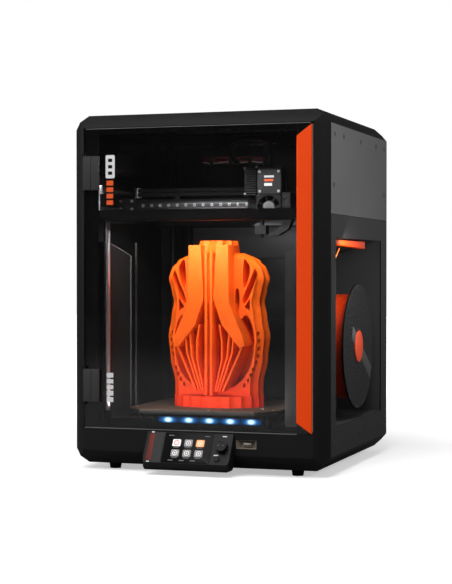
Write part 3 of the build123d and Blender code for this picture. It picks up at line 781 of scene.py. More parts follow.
def build_lid():
    lo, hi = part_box("top_lid")
    frame_w = 26 * MM
    rim = slab("lid_frame", (lo.x, lo.y, hi.z - SHEET), hi)
    window = ((lo.x + frame_w, lo.y + frame_w), (hi.x - frame_w, hi.y - 3.4 * frame_w))
    rim = carve(rim, slab("hole", (*window[0], hi.z - 9 * MM), (*window[1], hi.z + 9 * MM)))
    slots = []
    for k in range(22):
        x = -126 * MM + k * 12 * MM
        slots.append(slab("slot", (x - 2.5 * MM, hi.y - 2.7 * frame_w, hi.z - 9 * MM),
            (x + 2.5 * MM, hi.y - 0.9 * frame_w, hi.z + 9 * MM)))
    rim = soften(carve(rim, join("slots", slots)), 0.0004)
    walls = slab("lid_wall", (lo.x + 9 * MM, lo.y + 9 * MM, lo.z), (hi.x - 9 * MM, hi.y - 9 * MM, hi.z - SHEET))
    walls = carve(walls, slab("hole", (lo.x + 12 * MM, lo.y + 12 * MM, lo.z - MM),
        (hi.x - 12 * MM, hi.y - 12 * MM, hi.z)))
    place(join("lid_frame", [rim, walls]), "lid", "case_charcoal", M["case"], ["top_lid"])
    pane = slab("lid_pane", (window[0][0] - 4 * MM, window[0][1] - 4 * MM, hi.z - 5 * MM),
        (window[1][0] + 4 * MM, window[1][1] + 4 * MM, hi.z - 2.1 * MM))
    place(soften(pane, 0.0006), "lid", "lid_smoke", M["smoke"])
    grip = slab("lid_grip", (-38 * MM, lo.y + 7 * MM, hi.z - 0.4 * MM), (38 * MM, lo.y + 19 * MM, hi.z))
    place(soften(grip, 0.0002), "lid", "rubber", M["rubber"])


def build_rear():
    paint("mains_inlet", M["black_plastic"])
    paint("power_rocker", M["black_plastic"])
    paint("exhaust_fan_frame", M["black_plastic"])
    x, y, z = (v for v in ((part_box("exhaust_fan_rotor")[0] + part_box("exhaust_fan_rotor")[1]) / 2))
    fan = fan_rotor("exhaust_blades", (x, y, z), 12 * MM, 26.5 * MM, 10 * MM, 7)
    place(fan, "exhaust_fan", "black_plastic", M["black_plastic"], ["exhaust_fan_rotor"])
    lo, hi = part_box("power_rocker")
    marks = [slab("mark", (lo.x + 7 * MM, hi.y - 1.2 * MM, hi.z - 7 * MM),
        (lo.x + 11 * MM, hi.y - 0.6 * MM, hi.z - 6 * MM))]
    mark = ring("mark", "Y", ((lo.x + hi.x) / 2, hi.y - 0.9 * MM, lo.z + 6 * MM), 1.8 * MM, 0.35 * MM, 24, 6)
    place(join("rocker_marks", marks + [mark]), "rocker", "black_plastic", M["white_ink"])
    plate = slab("rear_plate", (-40 * MM, CASE_HI.y - 0.1 * MM, 0.18), (40 * MM, CASE_HI.y, 0.21))
    place(plate, "case", "steel", M["aluminium"])


# ---------------------------------------------------------------- door

def build_door():
    paint("door_glass", M["glass"])
    paint("door_orange_strip", M["accent"])
    paint("door_hinge_pins", M["dark_steel"])
    lo, hi = DOOR_LO, DOOR_HI
    y0, y1 = hi.y + 0.05 * MM, hi.y + 0.45 * MM
    bands = [
        ((lo.x, y0, lo.z), (lo.x + 24 * MM, y1, hi.z)),
        ((hi.x - 26 * MM, y0, lo.z), (hi.x, y1, hi.z)),
        ((lo.x + 24 * MM, y0, hi.z - 9 * MM), (hi.x - 26 * MM, y1, hi.z)),
        ((lo.x + 24 * MM, y0, lo.z), (hi.x - 26 * MM, y1, lo.z + 5 * MM))]
    border = [slab("band", a, b) for a, b in bands]
    place(join("door_border", border), "door", "black_plastic", M["black_ink"])
    seal = slab("seal", (lo.x + 1.5 * MM, y1, lo.z + 1.5 * MM),
        (hi.x - 1.5 * MM, y1 + 1.6 * MM, hi.z - 1.5 * MM))
    seal = carve(seal, slab("hole", (lo.x + 5 * MM, y0 - MM, lo.z + 4.5 * MM),
        (hi.x - 5 * MM, y1 + 9 * MM, hi.z - 5 * MM)))
    place(soften(seal, 0.0005), "door", "rubber", M["rubber"])

    # a warm light strip down the glass's right edge: painted highlight
    light = slab("glass_edge", (hi.x - 1.0 * MM, lo.y - 0.15 * MM, lo.z + 3 * MM),
        (hi.x - 0.2 * MM, lo.y, hi.z - 3 * MM))
    place(light, "door", "door_glass", M["glass_edge"])
    # a light strip along the glass's top edge: painted highlight
    top = slab("glass_top_edge", (lo.x + 4 * MM, lo.y - 0.1 * MM, hi.z - 1.2 * MM),
        (hi.x - 4 * MM, lo.y, hi.z - 0.5 * MM))
    place(top, "door", "door_glass", M["edge"])

    covers = []
    cover_lo, cover_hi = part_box("door_hinge_covers")
    for z0, z1 in ((107.6 * MM, 158.3 * MM), (437 * MM, 489.5 * MM)):
        cover = slab("cover", (cover_lo.x, cover_lo.y, z0), (cover_hi.x, cover_hi.y, z1))
        groove = slab("groove", (cover_lo.x + 12.6 * MM, cover_lo.y - MM, z0 - MM),
            (cover_lo.x + 14 * MM, cover_lo.y + 0.9 * MM, z1 + MM))
        covers.append(soften(carve(cover, groove), 0.0007, 3))
    place(join("hinge_covers", covers), "door", "grey_plastic", M["cover_grey"], ["door_hinge_covers"])

    face = lo.y - 0.12 * MM
    badge = slab("badge", (-148.6 * MM, face, 455 * MM), (-133.3 * MM, lo.y, 491 * MM))
    round_edges(badge, 2.2 * MM, 5, lambda a, b: abs(a.y - b.y) > 0.00005 and (a - b).length < 0.001)
    place(badge, "door", "light_white", M["white_ink"])
    dots = []
    for z in (463, 473, 483):
        dots.append(slab("dot", (-144.4 * MM, face - 0.08 * MM, (z - 2.6) * MM),
            (-137.5 * MM, face, (z + 2.6) * MM)))
    place(soften(join("badge_marks", dots), 0.00003), "door", "black_plastic", M["black_ink"])
    bars = []
    for z0, z1 in ((414, 421), (424, 431), (434, 441), (444, 451.5)):
        bars.append(slab("bar", (-147 * MM, face, z0 * MM), (-136 * MM, lo.y, z1 * MM)))
    place(join("orange_marks", bars), "door", "orange_plastic", M["orange_ink"])
    bars = []
    for z0, z1 in ((107.5, 115), (117.5, 125), (127.5, 134), (136.5, 143), (145.5, 153)):
        bars.append(slab("bar", (-147.2 * MM, face, z0 * MM), (-136 * MM, lo.y, z1 * MM)))
    place(join("white_marks", bars), "door", "light_white", M["white_ink"])


# ---------------------------------------------------------------- chamber and bed

def build_chamber():
    paint("chamber_floor", M["inner"])
    paint("left_inner_cover", M["inner"])
    paint("gantry_frame", M["frame_black"])
    build_guides()
    paint("y_rails", M["rail_steel"])
    paint("stepper_motors", M["dark_steel"])
    paint("power_supply", M["aluminium"])
    paint("control_board", M["board"])
    paint("y_belts", M["rubber"])
    paint("drive_pulley_left", M["aluminium"])
    paint("drive_pulley_right", M["aluminium"])
    wall = slab("rear_lining", (-150 * MM, 214 * MM, 60.5 * MM), (126 * MM, 215.5 * MM, 334 * MM))
    place(soften(wall, 0.0004), "case", "inner_black", M["inner"])
    band = slab("rear_lining_band", (-150 * MM, 213.6 * MM, 334.5 * MM), (126 * MM, 215.5 * MM, 388 * MM))
    place(soften(band, 0.0004), "case", "panel_grey", M["lining"])
    post_l = slab("lining_post", (-160 * MM, 196 * MM, 60.5 * MM), (-150.5 * MM, 215 * MM, 388 * MM))
    post_r = slab("lining_post", (118 * MM, 196 * MM, 60.5 * MM), (126 * MM, 213.5 * MM, 388 * MM))
    place(soften(join("lining_posts", [post_l, post_r]), 0.0006), "case", "inner_black", M["inner"])
    box = slab("side_filter_box", (-204.8 * MM, -92 * MM, 470 * MM), (-172 * MM, 150 * MM, 503 * MM))
    place(soften(box, 0.0015, 3), "case", "inner_black", M["inner"])

    lo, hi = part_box("status_light_bar")
    bar = slab("light_bar", lo, hi)
    place(soften(bar, 0.0012, 3), "case", "inner_black", M["black_plastic"], ["status_light_bar"])
    strip = slab("status_lamps", (lo.x, lo.y - 0.2 * MM, LAMP_Z - LAMP_H / 2),
        (hi.x, lo.y + 0.1 * MM, LAMP_Z + LAMP_H / 2))
    place(soften(strip, 0.00008), "case", "light_white", M["led"])


def build_guides():
    """Guide rods, the front one bright, and lead screws with their threads."""
    lo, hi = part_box("z_rods")
    r = 5 * MM
    spots = {"front_guide_rod": [(lo.x + r, lo.y + r)],
        "rear_guide_rods": [(lo.x + r, hi.y - r), (hi.x - r, hi.y - r)]}
    for name, places in spots.items():
        rods = [rod("guide", "Z", (x, y, (lo.z + hi.z) / 2), r, hi.z - lo.z, 32) for x, y in places]
        # painted shade: the rear rods take the dark black oxide finish because they stand in shade at the back of
        # the chamber
        bright = name == "front_guide_rod"
        piece = soften(join(name, rods), 0.0006, 2)
        place(piece, "case", "steel", M["steel" if bright else "dark_steel"], ["z_rods"] if bright else [])
    for side in ("left", "right"):
        node = "lead_screw_" + side
        lo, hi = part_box(node)
        x, y = (lo.x + hi.x) / 2, (lo.y + hi.y) / 2
        core = rod("core", "Z", (x, y, (lo.z + hi.z) / 2), 3.4 * MM, hi.z - lo.z, 24)
        turn_of_thread = rod("thread", "Z", (x, y, 74 * MM), 4 * MM, 1.1 * MM, 20)
        soften(turn_of_thread, 0.0003, 1)
        count = int((hi.z - 76 * MM) / (2 * MM))
        modify(turn_of_thread, "ARRAY", count=count, use_relative_offset=False, use_constant_offset=True,
               constant_offset_displace=(0, 0, 2 * MM))
        collar = soften(rod("collar", "Z", (x, y, lo.z + 7.4 * MM), 6.3 * MM, 14.8 * MM, 32), 0.0006)
        place(join(node + "_thread", [core, turn_of_thread, collar]), node, "steel", M["thread_steel"], [node])
    # light grey strands along the left inner cover's edges: painted highlight where the sheet edges catch the light
    edges = []
    lo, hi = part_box("left_inner_cover")
    x = hi.x + 0.2 * MM
    for a, b in (((x, lo.y, hi.z + 0.2 * MM), (x, hi.y, 336.2 * MM)),
            ((x, hi.y, 336 * MM), (x, hi.y, lo.z + 30 * MM))):
        edges.append(strand("edge", [a, [(p + q) / 2 for p, q in zip(a, b)], b], 0.45 * MM, 6))
    place(join("inner_cover_edges", edges), "case", "inner_black", M["edge"])


def chamfered_plate(name, lo, hi, corner, edge):
    plate = round_edges(slab(name, lo, hi), corner, 1, lambda a, b: abs(a.z - b.z) > (hi.z - lo.z) / 2)
    return soften(plate, edge, 2, 60)


def build_bed():
    paint("bed_carrier", M["frame_black"])
    lo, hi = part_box("heatbed")
    place(chamfered_plate("heater_plate", lo, hi, 29.9 * MM, 0.0008), "bed", "aluminium", M["dark_plastic"],
        ["heatbed"])
    lo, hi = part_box("print_sheet")
    sheet = chamfered_plate("spring_steel_sheet", lo, hi, 29.9 * MM, 0.0002)
    place(sheet, "bed", "sheet_bronze", M["sheet"], ["print_sheet"])
    pins = []
    for x in (lo.x + 11 * MM, hi.x - 11 * MM, 0):
        for y in (lo.y + 40 * MM if x else lo.y + 6 * MM, hi.y - 40 * MM if x else hi.y - 6 * MM):
            pins.append(soften(rod("pin", "Z", (x, y, hi.z + 0.15 * MM), 2.2 * MM, 0.3 * MM, 20), 0.0001))
    place(join("sheet_rivets", pins), "bed", "steel", M["steel"])


BODY_PROFILE = ((0.0, 0.84), (0.07, 0.86), (0.14, 0.86), (0.29, 0.95), (0.42, 0.99), (0.55, 0.93),
    (0.635, 0.885),
                (0.70, 0.93), (0.775, 0.985), (0.83, 0.93), (0.88, 0.80), (0.915, 0.62), (0.925, 0.50))
COLUMN_WIDTH = ((0.52, 0.06), (0.62, 0.22), (0.70, 0.34), (0.85, 0.38), (0.93, 0.37), (1.0, 0.355))
COLUMN_DEPTH = ((0.52, 0.93), (0.70, 0.97), (0.85, 0.985), (0.93, 0.80), (1.0, 0.62))
# openings in the front of the vase: X out from its middle and Z, in millimetres, mirrored to both sides
OPENINGS = (
    ((50, 331), (53, 330), (63, 316), (53, 283), (48, 285), (48, 312)),
    ((67, 315), (69, 313), (73, 302), (53, 257), (47, 259), (49, 272), (60, 296)),
    ((60, 268), (60, 247), (51, 254)),
    ((35, 284), (35, 246), (41, 238), (43, 262), (42, 284)),
    ((54, 244), (63, 229), (68, 208), (67, 182), (61, 158), (50, 139), (32, 125), (7, 119), (7, 119), (7, 264),
     (7, 264), (26, 218), (38, 214), (43, 232)))
ARM = ((33, 352), (34, 262), (57, 208), (60, 194), (52, 189), (22, 226), (8, 268), (13, 352))
BLADES = (
    (((55, 200), (52, 186), (22, 120)), 3.6), (((41, 214), (38, 182), (17, 120)), 3.0),
    (((33, 214), (30, 176), (12.5, 120)), 3.0), (((17, 226), (21, 200), (21, 172), (9.5, 120)), 2.6))
LADDER = ((72.5, 212), (74, 200), (73.4, 188), (71.8, 176.5), (69, 165.5), (65.6, 155), (61.5, 145.5),
    (57, 137), (51, 129.5))


def read_profile(profile, t):
    for (t0, w0), (t1, w1) in zip(profile, profile[1:]):
        if t <= t1:
            s = max(0.0, (t - t0) / (t1 - t0))
            return w0 + (w1 - w0) * s * s * (3 - 2 * s)
    return profile[-1][1]


def lathed(name, around, levels, t0, t1, point):
    """A solid whose skin a function of angle and height gives: a grid rolled up and closed at both ends."""
    settle()
    bpy.ops.mesh.primitive_grid_add(x_subdivisions=around, y_subdivisions=levels, size=2)
    o = named(name)
    for vertex in o.data.vertices:
        vertex.co = point((vertex.co.x + 1) * math.pi, t0 + (t1 - t0) * (vertex.co.y + 1) / 2)
    merge(o, 0.00005)
    pick(o)
    bpy.ops.object.mode_set(mode="EDIT")
    bpy.ops.mesh.select_all(action="SELECT")
    bpy.ops.mesh.fill_holes(sides=0)
    settle()
    return o


def prism(name, outline, middle, y0, y1, edge=0.0, round_off=False):
    """A solid with an outline drawn in X and Z (millimetres, X from the middle), between two places along Y."""
    settle()
    line = bpy.data.curves.new(name, "CURVE")
    line.dimensions = "2D"
    line.fill_mode = "BOTH"
    spline = line.splines.new("NURBS" if round_off else "POLY")
    spline.points.add(len(outline) - 1)
    for point, (x, z) in zip(spline.points, outline):
        point.co = (middle + x * MM, z * MM, 0, 1)
    spline.use_cyclic_u = True
    if round_off:
        spline.order_u = 3
        spline.resolution_u = 5
    line.extrude = (y1 - y0) / 2 - edge
    line.bevel_depth = edge
    line.offset = -edge
    line.bevel_resolution = 2
    o = bpy.data.objects.new(name, line)
    bpy.context.scene.collection.objects.link(o)
    o.rotation_euler = (math.pi / 2, 0, 0)
    o.location = (0, (y0 + y1) / 2, 0)
    pick(o)
    bpy.ops.object.convert(target="MESH")
    apply_place()
    merge(named(name))
    pick(o)
    bpy.ops.object.mode_set(mode="EDIT")
    bpy.ops.mesh.select_all(action="SELECT")
    bpy.ops.mesh.normals_make_consistent(inside=False)
    settle()
    return o


def build_print(settings):
    """A generic vase: a fluted body with leaf-shaped recesses, and a ribbed column with two arms down its front."""
    lo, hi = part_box("sample_print")
    mid = (lo + hi) / 2
    tall = hi.z - lo.z
    rx, ry = (hi.x - lo.x) / 2, (hi.y - lo.y) / 2
    flutes = settings.print_flutes
    seat = 18 * MM / tall

    def at(angle, t, wide, deep):
        return Vector((mid.x + rx * wide * math.cos(angle), mid.y + ry * deep * math.sin(angle),
            lo.z + tall * t))

    def body_point(angle, t):
        r = read_profile(BODY_PROFILE, t) * (0.99 - 0.045 * abs(math.sin(angle * flutes / 2)))
        return at(angle, t, r, r)

    def column_point(angle, t):
        ridge = 1.0 - 0.13 * abs(math.sin(6 * angle))
        return at(angle, t, read_profile(COLUMN_WIDTH, t) * ridge, read_profile(COLUMN_DEPTH, t) * ridge)

    def plinth_point(angle, t):
        r = 0.86 - 0.05 * abs(math.sin(angle * 11))
        return at(angle, t, r, r)

    body = lathed("vase_body", flutes * 8, 44, seat * 0.9, 0.925, body_point)
    cut(body, (mid.x, mid.y - 26 * MM, mid.z), (0, -1, 0), fill=True)
    front, floor = lo.y - 10 * MM, mid.y + 22 * MM
    cutters = []
    for side in (-1, 1):
        for outline in OPENINGS:
            shape = [(side * x, z) for x, z in outline]
            cutters.append(prism("opening", shape, mid.x, front, floor, 0.0, len(outline) > 3))
        tip = 1.9
        for x, z in LADDER:
            shape = [(side * (x - tip), z - 4), (side * (x + tip), z - 2.2), (side * (x + tip), z + 4),
                (side * (x - tip), z + 2.2)]
            cutters.append(prism("slot", shape, mid.x, front, floor))
    body = soften(carve(body, join("openings", cutters)), 0.0007, 2, 60)
    column = lathed("vase_column", 144, 30, 0.52, 1.0, column_point)
    hollow = rod("hollow", "Z", (mid.x, mid.y, hi.z), 17 * MM, 30 * MM, 32)
    column = carve(column, hollow)
    plinth = lathed("vase_plinth", 176, 4, 0.0, seat, plinth_point)
    pieces = [body, column, plinth]
    for side in (-1, 1):
        arm = [(side * x, z) for x, z in ARM]
        pieces.append(prism("arm", arm, mid.x, lo.y + 0.6 * MM, mid.y, 0.8 * MM))
        ridge = [(side * 2.2, 340), (side * 6.5, 340), (side * 6.5, 114), (side * 2.2, 114)]
        pieces.append(prism("ridge", ridge, mid.x, lo.y + 0.8 * MM, mid.y, 0.7 * MM))
        for path, width in BLADES:
            inner = [(side * (x - width / 2), z) for x, z in path]
            outer = [(side * (x + width / 2), z) for x, z in reversed(path)]
            pieces.append(prism("blade", inner + outer, mid.x, lo.y + 5 * MM, mid.y, 0.6 * MM))
    vase = join("sample_vase", pieces)
    for vertex in vase.data.vertices:
        for axis in range(3):
            vertex.co[axis] = min(max(vertex.co[axis], lo[axis]), hi[axis])
    place(vase, "bed", "print_orange", M["print"], ["sample_print"], 35)
    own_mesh(vase)


# ---------------------------------------------------------------- gantry and print head

def fan_rotor(name, centre, hub, tip, depth, count):
    x, y, z = centre
    parts = [soften(rod("hub", "Y", (x, y, z), hub, depth, 40), 0.0008, 3)]
    for k in range(count):
        blade = slab("blade", (x + hub - 0.6 * MM, y - depth * 0.42, z - 0.5 * MM),
            (x + tip, y + depth * 0.42, z + 0.5 * MM))
        pick(blade)
        bpy.ops.object.mode_set(mode="EDIT")
        bpy.ops.mesh.select_all(action="SELECT")
        bpy.ops.mesh.subdivide(number_cuts=4)
        settle()
        for vertex in blade.data.vertices:
            reach = (vertex.co.x - x) / tip
            lift = (vertex.co.y - y) / depth
            vertex.co.z += lift * depth * 0.75 + 3 * MM * reach * reach
        parts.append(turn(blade, "Y", 2 * math.pi * k / count, (x, y, z)))
    return join(name, parts)


def build_gantry():
    paint("x_beam", M["frame_black"])
    rail_lo, rail_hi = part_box("x_rail")
    z = (rail_lo.z + rail_hi.z) / 2
    rail = slab("x_rail_body", rail_lo, rail_hi)
    for up in (-1, 1):
        z0, z1 = sorted((z + up * 3.1 * MM, z + up * 4.9 * MM))
        rail = carve(rail, slab("race", (rail_lo.x - MM, rail_lo.y - MM, z0),
            (rail_hi.x + MM, rail_lo.y + 1.4 * MM, z1)))
    place(soften(rail, 0.0004), "gantry", "steel", M["rail_steel"], ["x_rail"])
    bolts = []
    for k in range(-10, 11):
        bolts.append(socket_screw((k * 15 * MM, rail_lo.y + 0.9 * MM, z), 2.5 * MM, 1.5 * MM))
    place(join("x_rail_bolts", bolts), "gantry", "steel", M["bolt_steel"])
    lo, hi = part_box("joint_blocks")
    paint("joint_blocks", M["black_plastic"])
    screws = []
    for side in (-1, 1):
        for dx, dz in ((8, 5), (28, 5), (8, 18), (28, 18)):
            x = side * (165 + dx) * MM
            screws.append(socket_screw((x, lo.y, lo.z + dz * MM), 2.6 * MM))
    place(join("joint_screws", screws), "gantry", "steel", M["steel"])
    belts = []
    for z in (434.5, 441.5):
        belts.append(slab("belt", (-166 * MM, -14 * MM, z * MM), (166 * MM, -12.6 * MM, (z + 6) * MM)))
    belts = place(soften(join("gantry_belts", belts), 0.0002), "gantry", "rubber", M["rubber"])
    idlers = []
    for side in (-1, 1):
        x = side * 168 * MM
        idlers.append(soften(rod("idler", "Z", (x, -8 * MM, 440.5 * MM), 5.4 * MM, 15 * MM, 32), 0.0005))
        idlers.append(rod("flange", "Z", (x, -8 * MM, 433.3 * MM), 7 * MM, 1.2 * MM, 32))
        idlers.append(rod("flange", "Z", (x, -8 * MM, 448 * MM), 7 * MM, 1.2 * MM, 32))
    place(join("gantry_idlers", idlers), "gantry", "steel", M["aluminium"])
    corner = []
    for side in (-1, 1):
        x = side * 172 * MM
        corner.append(soften(rod("idler", "Z", (x, -165 * MM, 440 * MM), 6.1 * MM, 12 * MM, 32), 0.0005))
        corner.append(rod("flange", "Z", (x, -165 * MM, 433.6 * MM), 7.6 * MM, 1.2 * MM, 32))
        corner.append(rod("pin", "Z", (x, -165 * MM, 420 * MM), 2.5 * MM, 28 * MM, 20))
    place(join("corner_idlers", corner), "case", "steel", M["aluminium"])


def socket_screw(at, radius, depth=1.6 * MM):
    """A cap screw whose head faces the door."""
    x, y, z = at
    head = rod("screw", "Y", (x, y - depth / 2, z), radius, depth, 20)
    hole = rod("hex", "Y", (x, y - depth, z), radius * 0.5, depth, 6)
    return soften(carve(head, hole), 0.0002)


def build_head():
    lo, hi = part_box("gearbox_cover")
    cover = slab("gear_cover", lo, hi)
    round_edges(cover, 3.4 * MM, 4, lambda a, b: abs(a.y - b.y) > 5 * MM)
    place(soften(cover, 0.0009, 3), "print_head", "grey_plastic", M["grey_plastic"], ["gearbox_cover"])
    mid = (lo + hi) / 2
    screws = [socket_screw((mid.x + sx * 15.6 * MM, lo.y, mid.z + sz * 15.6 * MM), 2.3 * MM,
        0.8 * MM) for sx in (-1, 1) for sz in (-1, 1)]
    place(join("cover_screws", screws), "print_head", "steel", M["steel"])
    y = lo.y - 0.12 * MM
    place(slab("head_mark_white", (mid.x - 8 * MM, y, mid.z + 6.2 * MM),
        (mid.x + 8 * MM, lo.y, mid.z + 9.4 * MM)), "print_head", "light_white", M["white_ink"])
    place(slab("head_mark_orange", (mid.x - 8 * MM, y, mid.z + 0.2 * MM),
        (mid.x + 7 * MM, lo.y, mid.z + 3.8 * MM)), "print_head", "orange_plastic", M["orange_ink"])
    place(slab("head_mark_badge", (mid.x - 8 * MM, y, mid.z - 7 * MM),
        (mid.x + 5 * MM, lo.y, mid.z - 2.4 * MM)), "print_head", "light_white", M["white_ink"])

    lo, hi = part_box("extruder_body")
    sink_x1 = lo.x + 25 * MM
    core = slab("extruder_core", (sink_x1 + 0.3 * MM, lo.y + 10.2 * MM, lo.z + 4 * MM),
        (hi.x, hi.y, hi.z - 2 * MM))
    core = soften(core, 0.0012, 3)
    back = slab("sink_base", (lo.x + 2 * MM, lo.y + 9 * MM, lo.z + 1 * MM), (sink_x1, hi.y, hi.z - 1 * MM))
    place(join("extruder_case", [core, soften(back, 0.001)]), "print_head", "grey_plastic", M["dark_plastic"],
        ["extruder_body"])
    fins = []
    for k in range(12):
        z = lo.z + 3 * MM + k * 3.8 * MM
        fins.append(slab("fin", (lo.x + 5 * MM, lo.y + 1 * MM, z),
            (sink_x1 - MM, lo.y + 9.5 * MM, z + 1.5 * MM)))
    place(soften(join("sink_fins", fins), 0.0003), "print_head", "grey_plastic", M["grey_plastic"])
    bits = [socket_screw((lo.x + x * MM, lo.y + 9 * MM, lo.z + z * MM), 1.8 * MM, 1.2 * MM) for x,
        z in ((3.5, 46), (3.6, 5), (23, 47.5), (23, 2.8))]
    bits.append(ring("eye", "Y", (sink_x1 + 2 * MM, lo.y + 9.5 * MM, lo.z + 1 * MM), 2.6 * MM, 0.8 * MM, 24, 8))
    place(join("head_hardware", bits), "print_head", "steel", M["steel"])

    paint("x_carriage", M["dark_steel"])
    paint("blower_duct", M["black_plastic"])
    paint("hotend", M["dark_steel"])
    paint("hotend_fan_frame", M["black_plastic"])
    lo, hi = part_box("hotend_fan_rotor")
    mid = (lo + hi) / 2
    rotor = fan_rotor("cooling_blades", mid, 10.4 * MM, 17.9 * MM, hi.y - lo.y, 7)
    place(rotor, "hotend_fan", "grey_plastic", M["dark_plastic"], ["hotend_fan_rotor"])
    disc = soften(rod("fan_label", "Y", (mid.x, lo.y + 0.1 * MM, mid.z), 9.6 * MM, 0.3 * MM, 40), 0.0001)
    place(disc, "hotend_fan", "grey_plastic", M["label_disc"])

    lo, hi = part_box("blower_duct")
    wheel = ring("blower_eye", "Y", ((hi.x - 7 * MM), lo.y, 424 * MM), 5 * MM, 0.9 * MM, 32, 8)
    place(wheel, "print_head", "black_plastic", M["dark_plastic"])


def build_looms():
    rear = [(-68, 219.4, 505), (-68, 196, 505), (-62, 160, 520), (-42, 118, 530), (-14, 82, 531), (12, 55, 528)]
    head = [(12, 55, 528), (33.2, 33, 525.6), (52, 6, 520), (62, -22, 512), (66, -44, 500), (66, -46, 477.5)]
    offsets = (((0, 0, 0), 3.1, "loom"), ((3.4, 1, 1.6), 1.1, "wire_plum"),
        ((-3.3, -1, 1.2), 1.0, "wire_plum"), ((0.6, 2, -3.4), 1.9, "loom"))
    for name, route, bodies, node in (("rear_loom", rear, ("case", "gantry"), "loom_rear"),
            ("head_loom", head, ("gantry", "print_head"), "loom_head")):
        for k, (offset, radius, finish) in enumerate(offsets):
            points = [tuple((p + d) * MM for p, d in zip(point, offset)) for point in route]
            wire = strand(f"{name}_{k}", points, radius * MM, 12)
            smooth(wire, 60)
            wire.data.materials.append(M[finish])
            if k == 0:
                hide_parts(node)
            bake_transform(wire)
    clips = [soften(slab("clip", (x, 212 * MM, 498 * MM), (x + 6 * MM, 219.8 * MM, 516 * MM)),
        0.001) for x in (-0.118, -0.082, -0.046, -0.01)]
    place(join("wall_clips", clips), "case", "black_plastic", M["black_plastic"])
    for k, (dz, finish) in enumerate(((0, "wire_red"), (2.8, "loom"), (-2.8, "wire_white"), (5.4, "wire_red"),
            (-5.2, "loom"))):
        points = [(-132 + 12.5 * n, 216.5 - 1.5 * (n % 2),
            507 + dz + 1.6 * math.sin(1.7 * n + k)) for n in range(11)]
        wire = strand(f"wall_harness_{k}", [[c * MM for c in p] for p in points], 1.3 * MM, 10)
        place(wire, "case", "rubber", M[finish], (), 60)


# ---------------------------------------------------------------- spool bay

def perforated_flange(name, x, centre, bore, rim):
    """A disc of square mesh between a hub and a rim."""
    y, z = centre
    settle()
    cells = 36
    bpy.ops.mesh.primitive_grid_add(x_subdivisions=cells, y_subdivisions=cells, size=2 * rim,
        location=(x, y, z), rotation=(0, math.pi / 2, 0))
    apply_place()
    mesh = named(name)
    pick(mesh)
    bpy.ops.object.mode_set(mode="EDIT")
    bpy.ops.mesh.select_all(action="SELECT")
    bpy.ops.mesh.inset(thickness=1.6 * MM, use_individual=True)
    bpy.ops.mesh.delete(type="FACE")
    settle()
    turn(mesh, "X", math.radians(45), (x, y, z))

    def inside(c, n):
        r = math.hypot(c.y - y, c.z - z)
        return bore < r < rim - 2 * MM
    keep_faces(mesh, inside)
    modify(mesh, "SOLIDIFY", thickness=0.5 * MM, offset=0)
    return mesh


def disc_ring(name, x0, x1, centre, inner, outer, sides=96):
    y, z = centre
    body = rod(name, "X", ((x0 + x1) / 2, y, z), outer, x1 - x0, sides)
    return soften(carve(body, rod("bore", "X", ((x0 + x1) / 2, y, z), inner, (x1 - x0) * 3, sides)), 0.0005)


def build_spool():
    lo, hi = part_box("spool_reel")
    wind_lo, wind_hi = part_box("filament_winding")
    y, z = (lo.y + hi.y) / 2, (lo.z + hi.z) / 2
    rim, hub = (hi.z - lo.z) / 2, 38 * MM
    flange = wind_lo.x - lo.x
    parts = []
    for x0, x1, face in ((lo.x, lo.x + flange, lo.x + 0.5 * MM), (hi.x - flange, hi.x, hi.x - 0.5 * MM)):
        parts.append(perforated_flange("mesh", face, (y, z), 28 * MM, rim))
        parts.append(disc_ring("rim", x0, x1, (y, z), rim - 4.5 * MM, rim))
        parts.append(disc_ring("hub", x0, x1, (y, z), 25 * MM, 30 * MM))
    parts.append(disc_ring("tube", lo.x + flange, hi.x - flange, (y, z), 26.5 * MM, 37.5 * MM))
    place(join("reel", parts), "spool", "black_plastic", M["winder_black"], ["spool_reel"])
    backings = []
    for x0, x1 in ((lo.x + 0.9 * MM, lo.x + 1.4 * MM), (hi.x - 1.4 * MM, hi.x - 0.9 * MM)):
        backings.append(disc_ring("reel_backing", x0, x1, (y, z), 27 * MM, rim - 4 * MM))
    place(join("reel_backing", backings), "spool", "grey_plastic", M["dot_grey"])
    label = slab("reel_label", (hi.x - 0.6 * MM, y - 48 * MM, z - 11 * MM),
        (hi.x + 0.1 * MM, y + 94 * MM, z + 11 * MM))
    place(soften(turn(label, "X", math.radians(-30), (hi.x, y, z)), 0.0003), "spool", "grey_plastic",
        M["label_grey"])
    cap = soften(rod("hub_cap", "X", (hi.x - 0.4 * MM, y, z), 25.2 * MM, 3 * MM, 64), 0.0009, 3)
    place(cap, "spool", "orange_plastic", M["accent"])

    winding = rod("winding", "X", ((wind_lo.x + wind_hi.x) / 2, y, z), (wind_hi.z - wind_lo.z) / 2 - 0.4 * MM,
        wind_hi.x - wind_lo.x, 96)
    winding = carve(winding, rod("bore", "X", ((wind_lo.x + wind_hi.x) / 2, y, z), hub, 0.2, 64))
    winding = soften(winding, 0.0018, 3)
    place(winding, "spool", "print_orange", M["winding"], ["filament_winding"])
    paint("spool_axle", M["grey_plastic"])

    lo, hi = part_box("filament_guide_arm")
    arm = slab("guide_arm", (lo.x, lo.y, lo.z), hi)
    choose(arm, "verts", lambda vertex: vertex.co.y < lo.y + MM and vertex.co.z < lo.z + MM)
    bpy.ops.transform.translate(value=(0, 0, 5 * MM))
    settle()
    place(soften(arm, 0.0012, 3), "case", "orange_plastic", M["accent"], ["filament_guide_arm"])
    route = [(196, -78, 346), (192, -108, 321), (189, -124, 288), (188, -122, 250), (188, -98, 216),
        (188, -66, 188)]
    line = strand("filament_line", [tuple(c * MM for c in p) for p in route], 0.9 * MM, 12)
    place(line, "case", "print_orange", M["filament"], ["filament_strand"], 60)


# ---------------------------------------------------------------- screen module

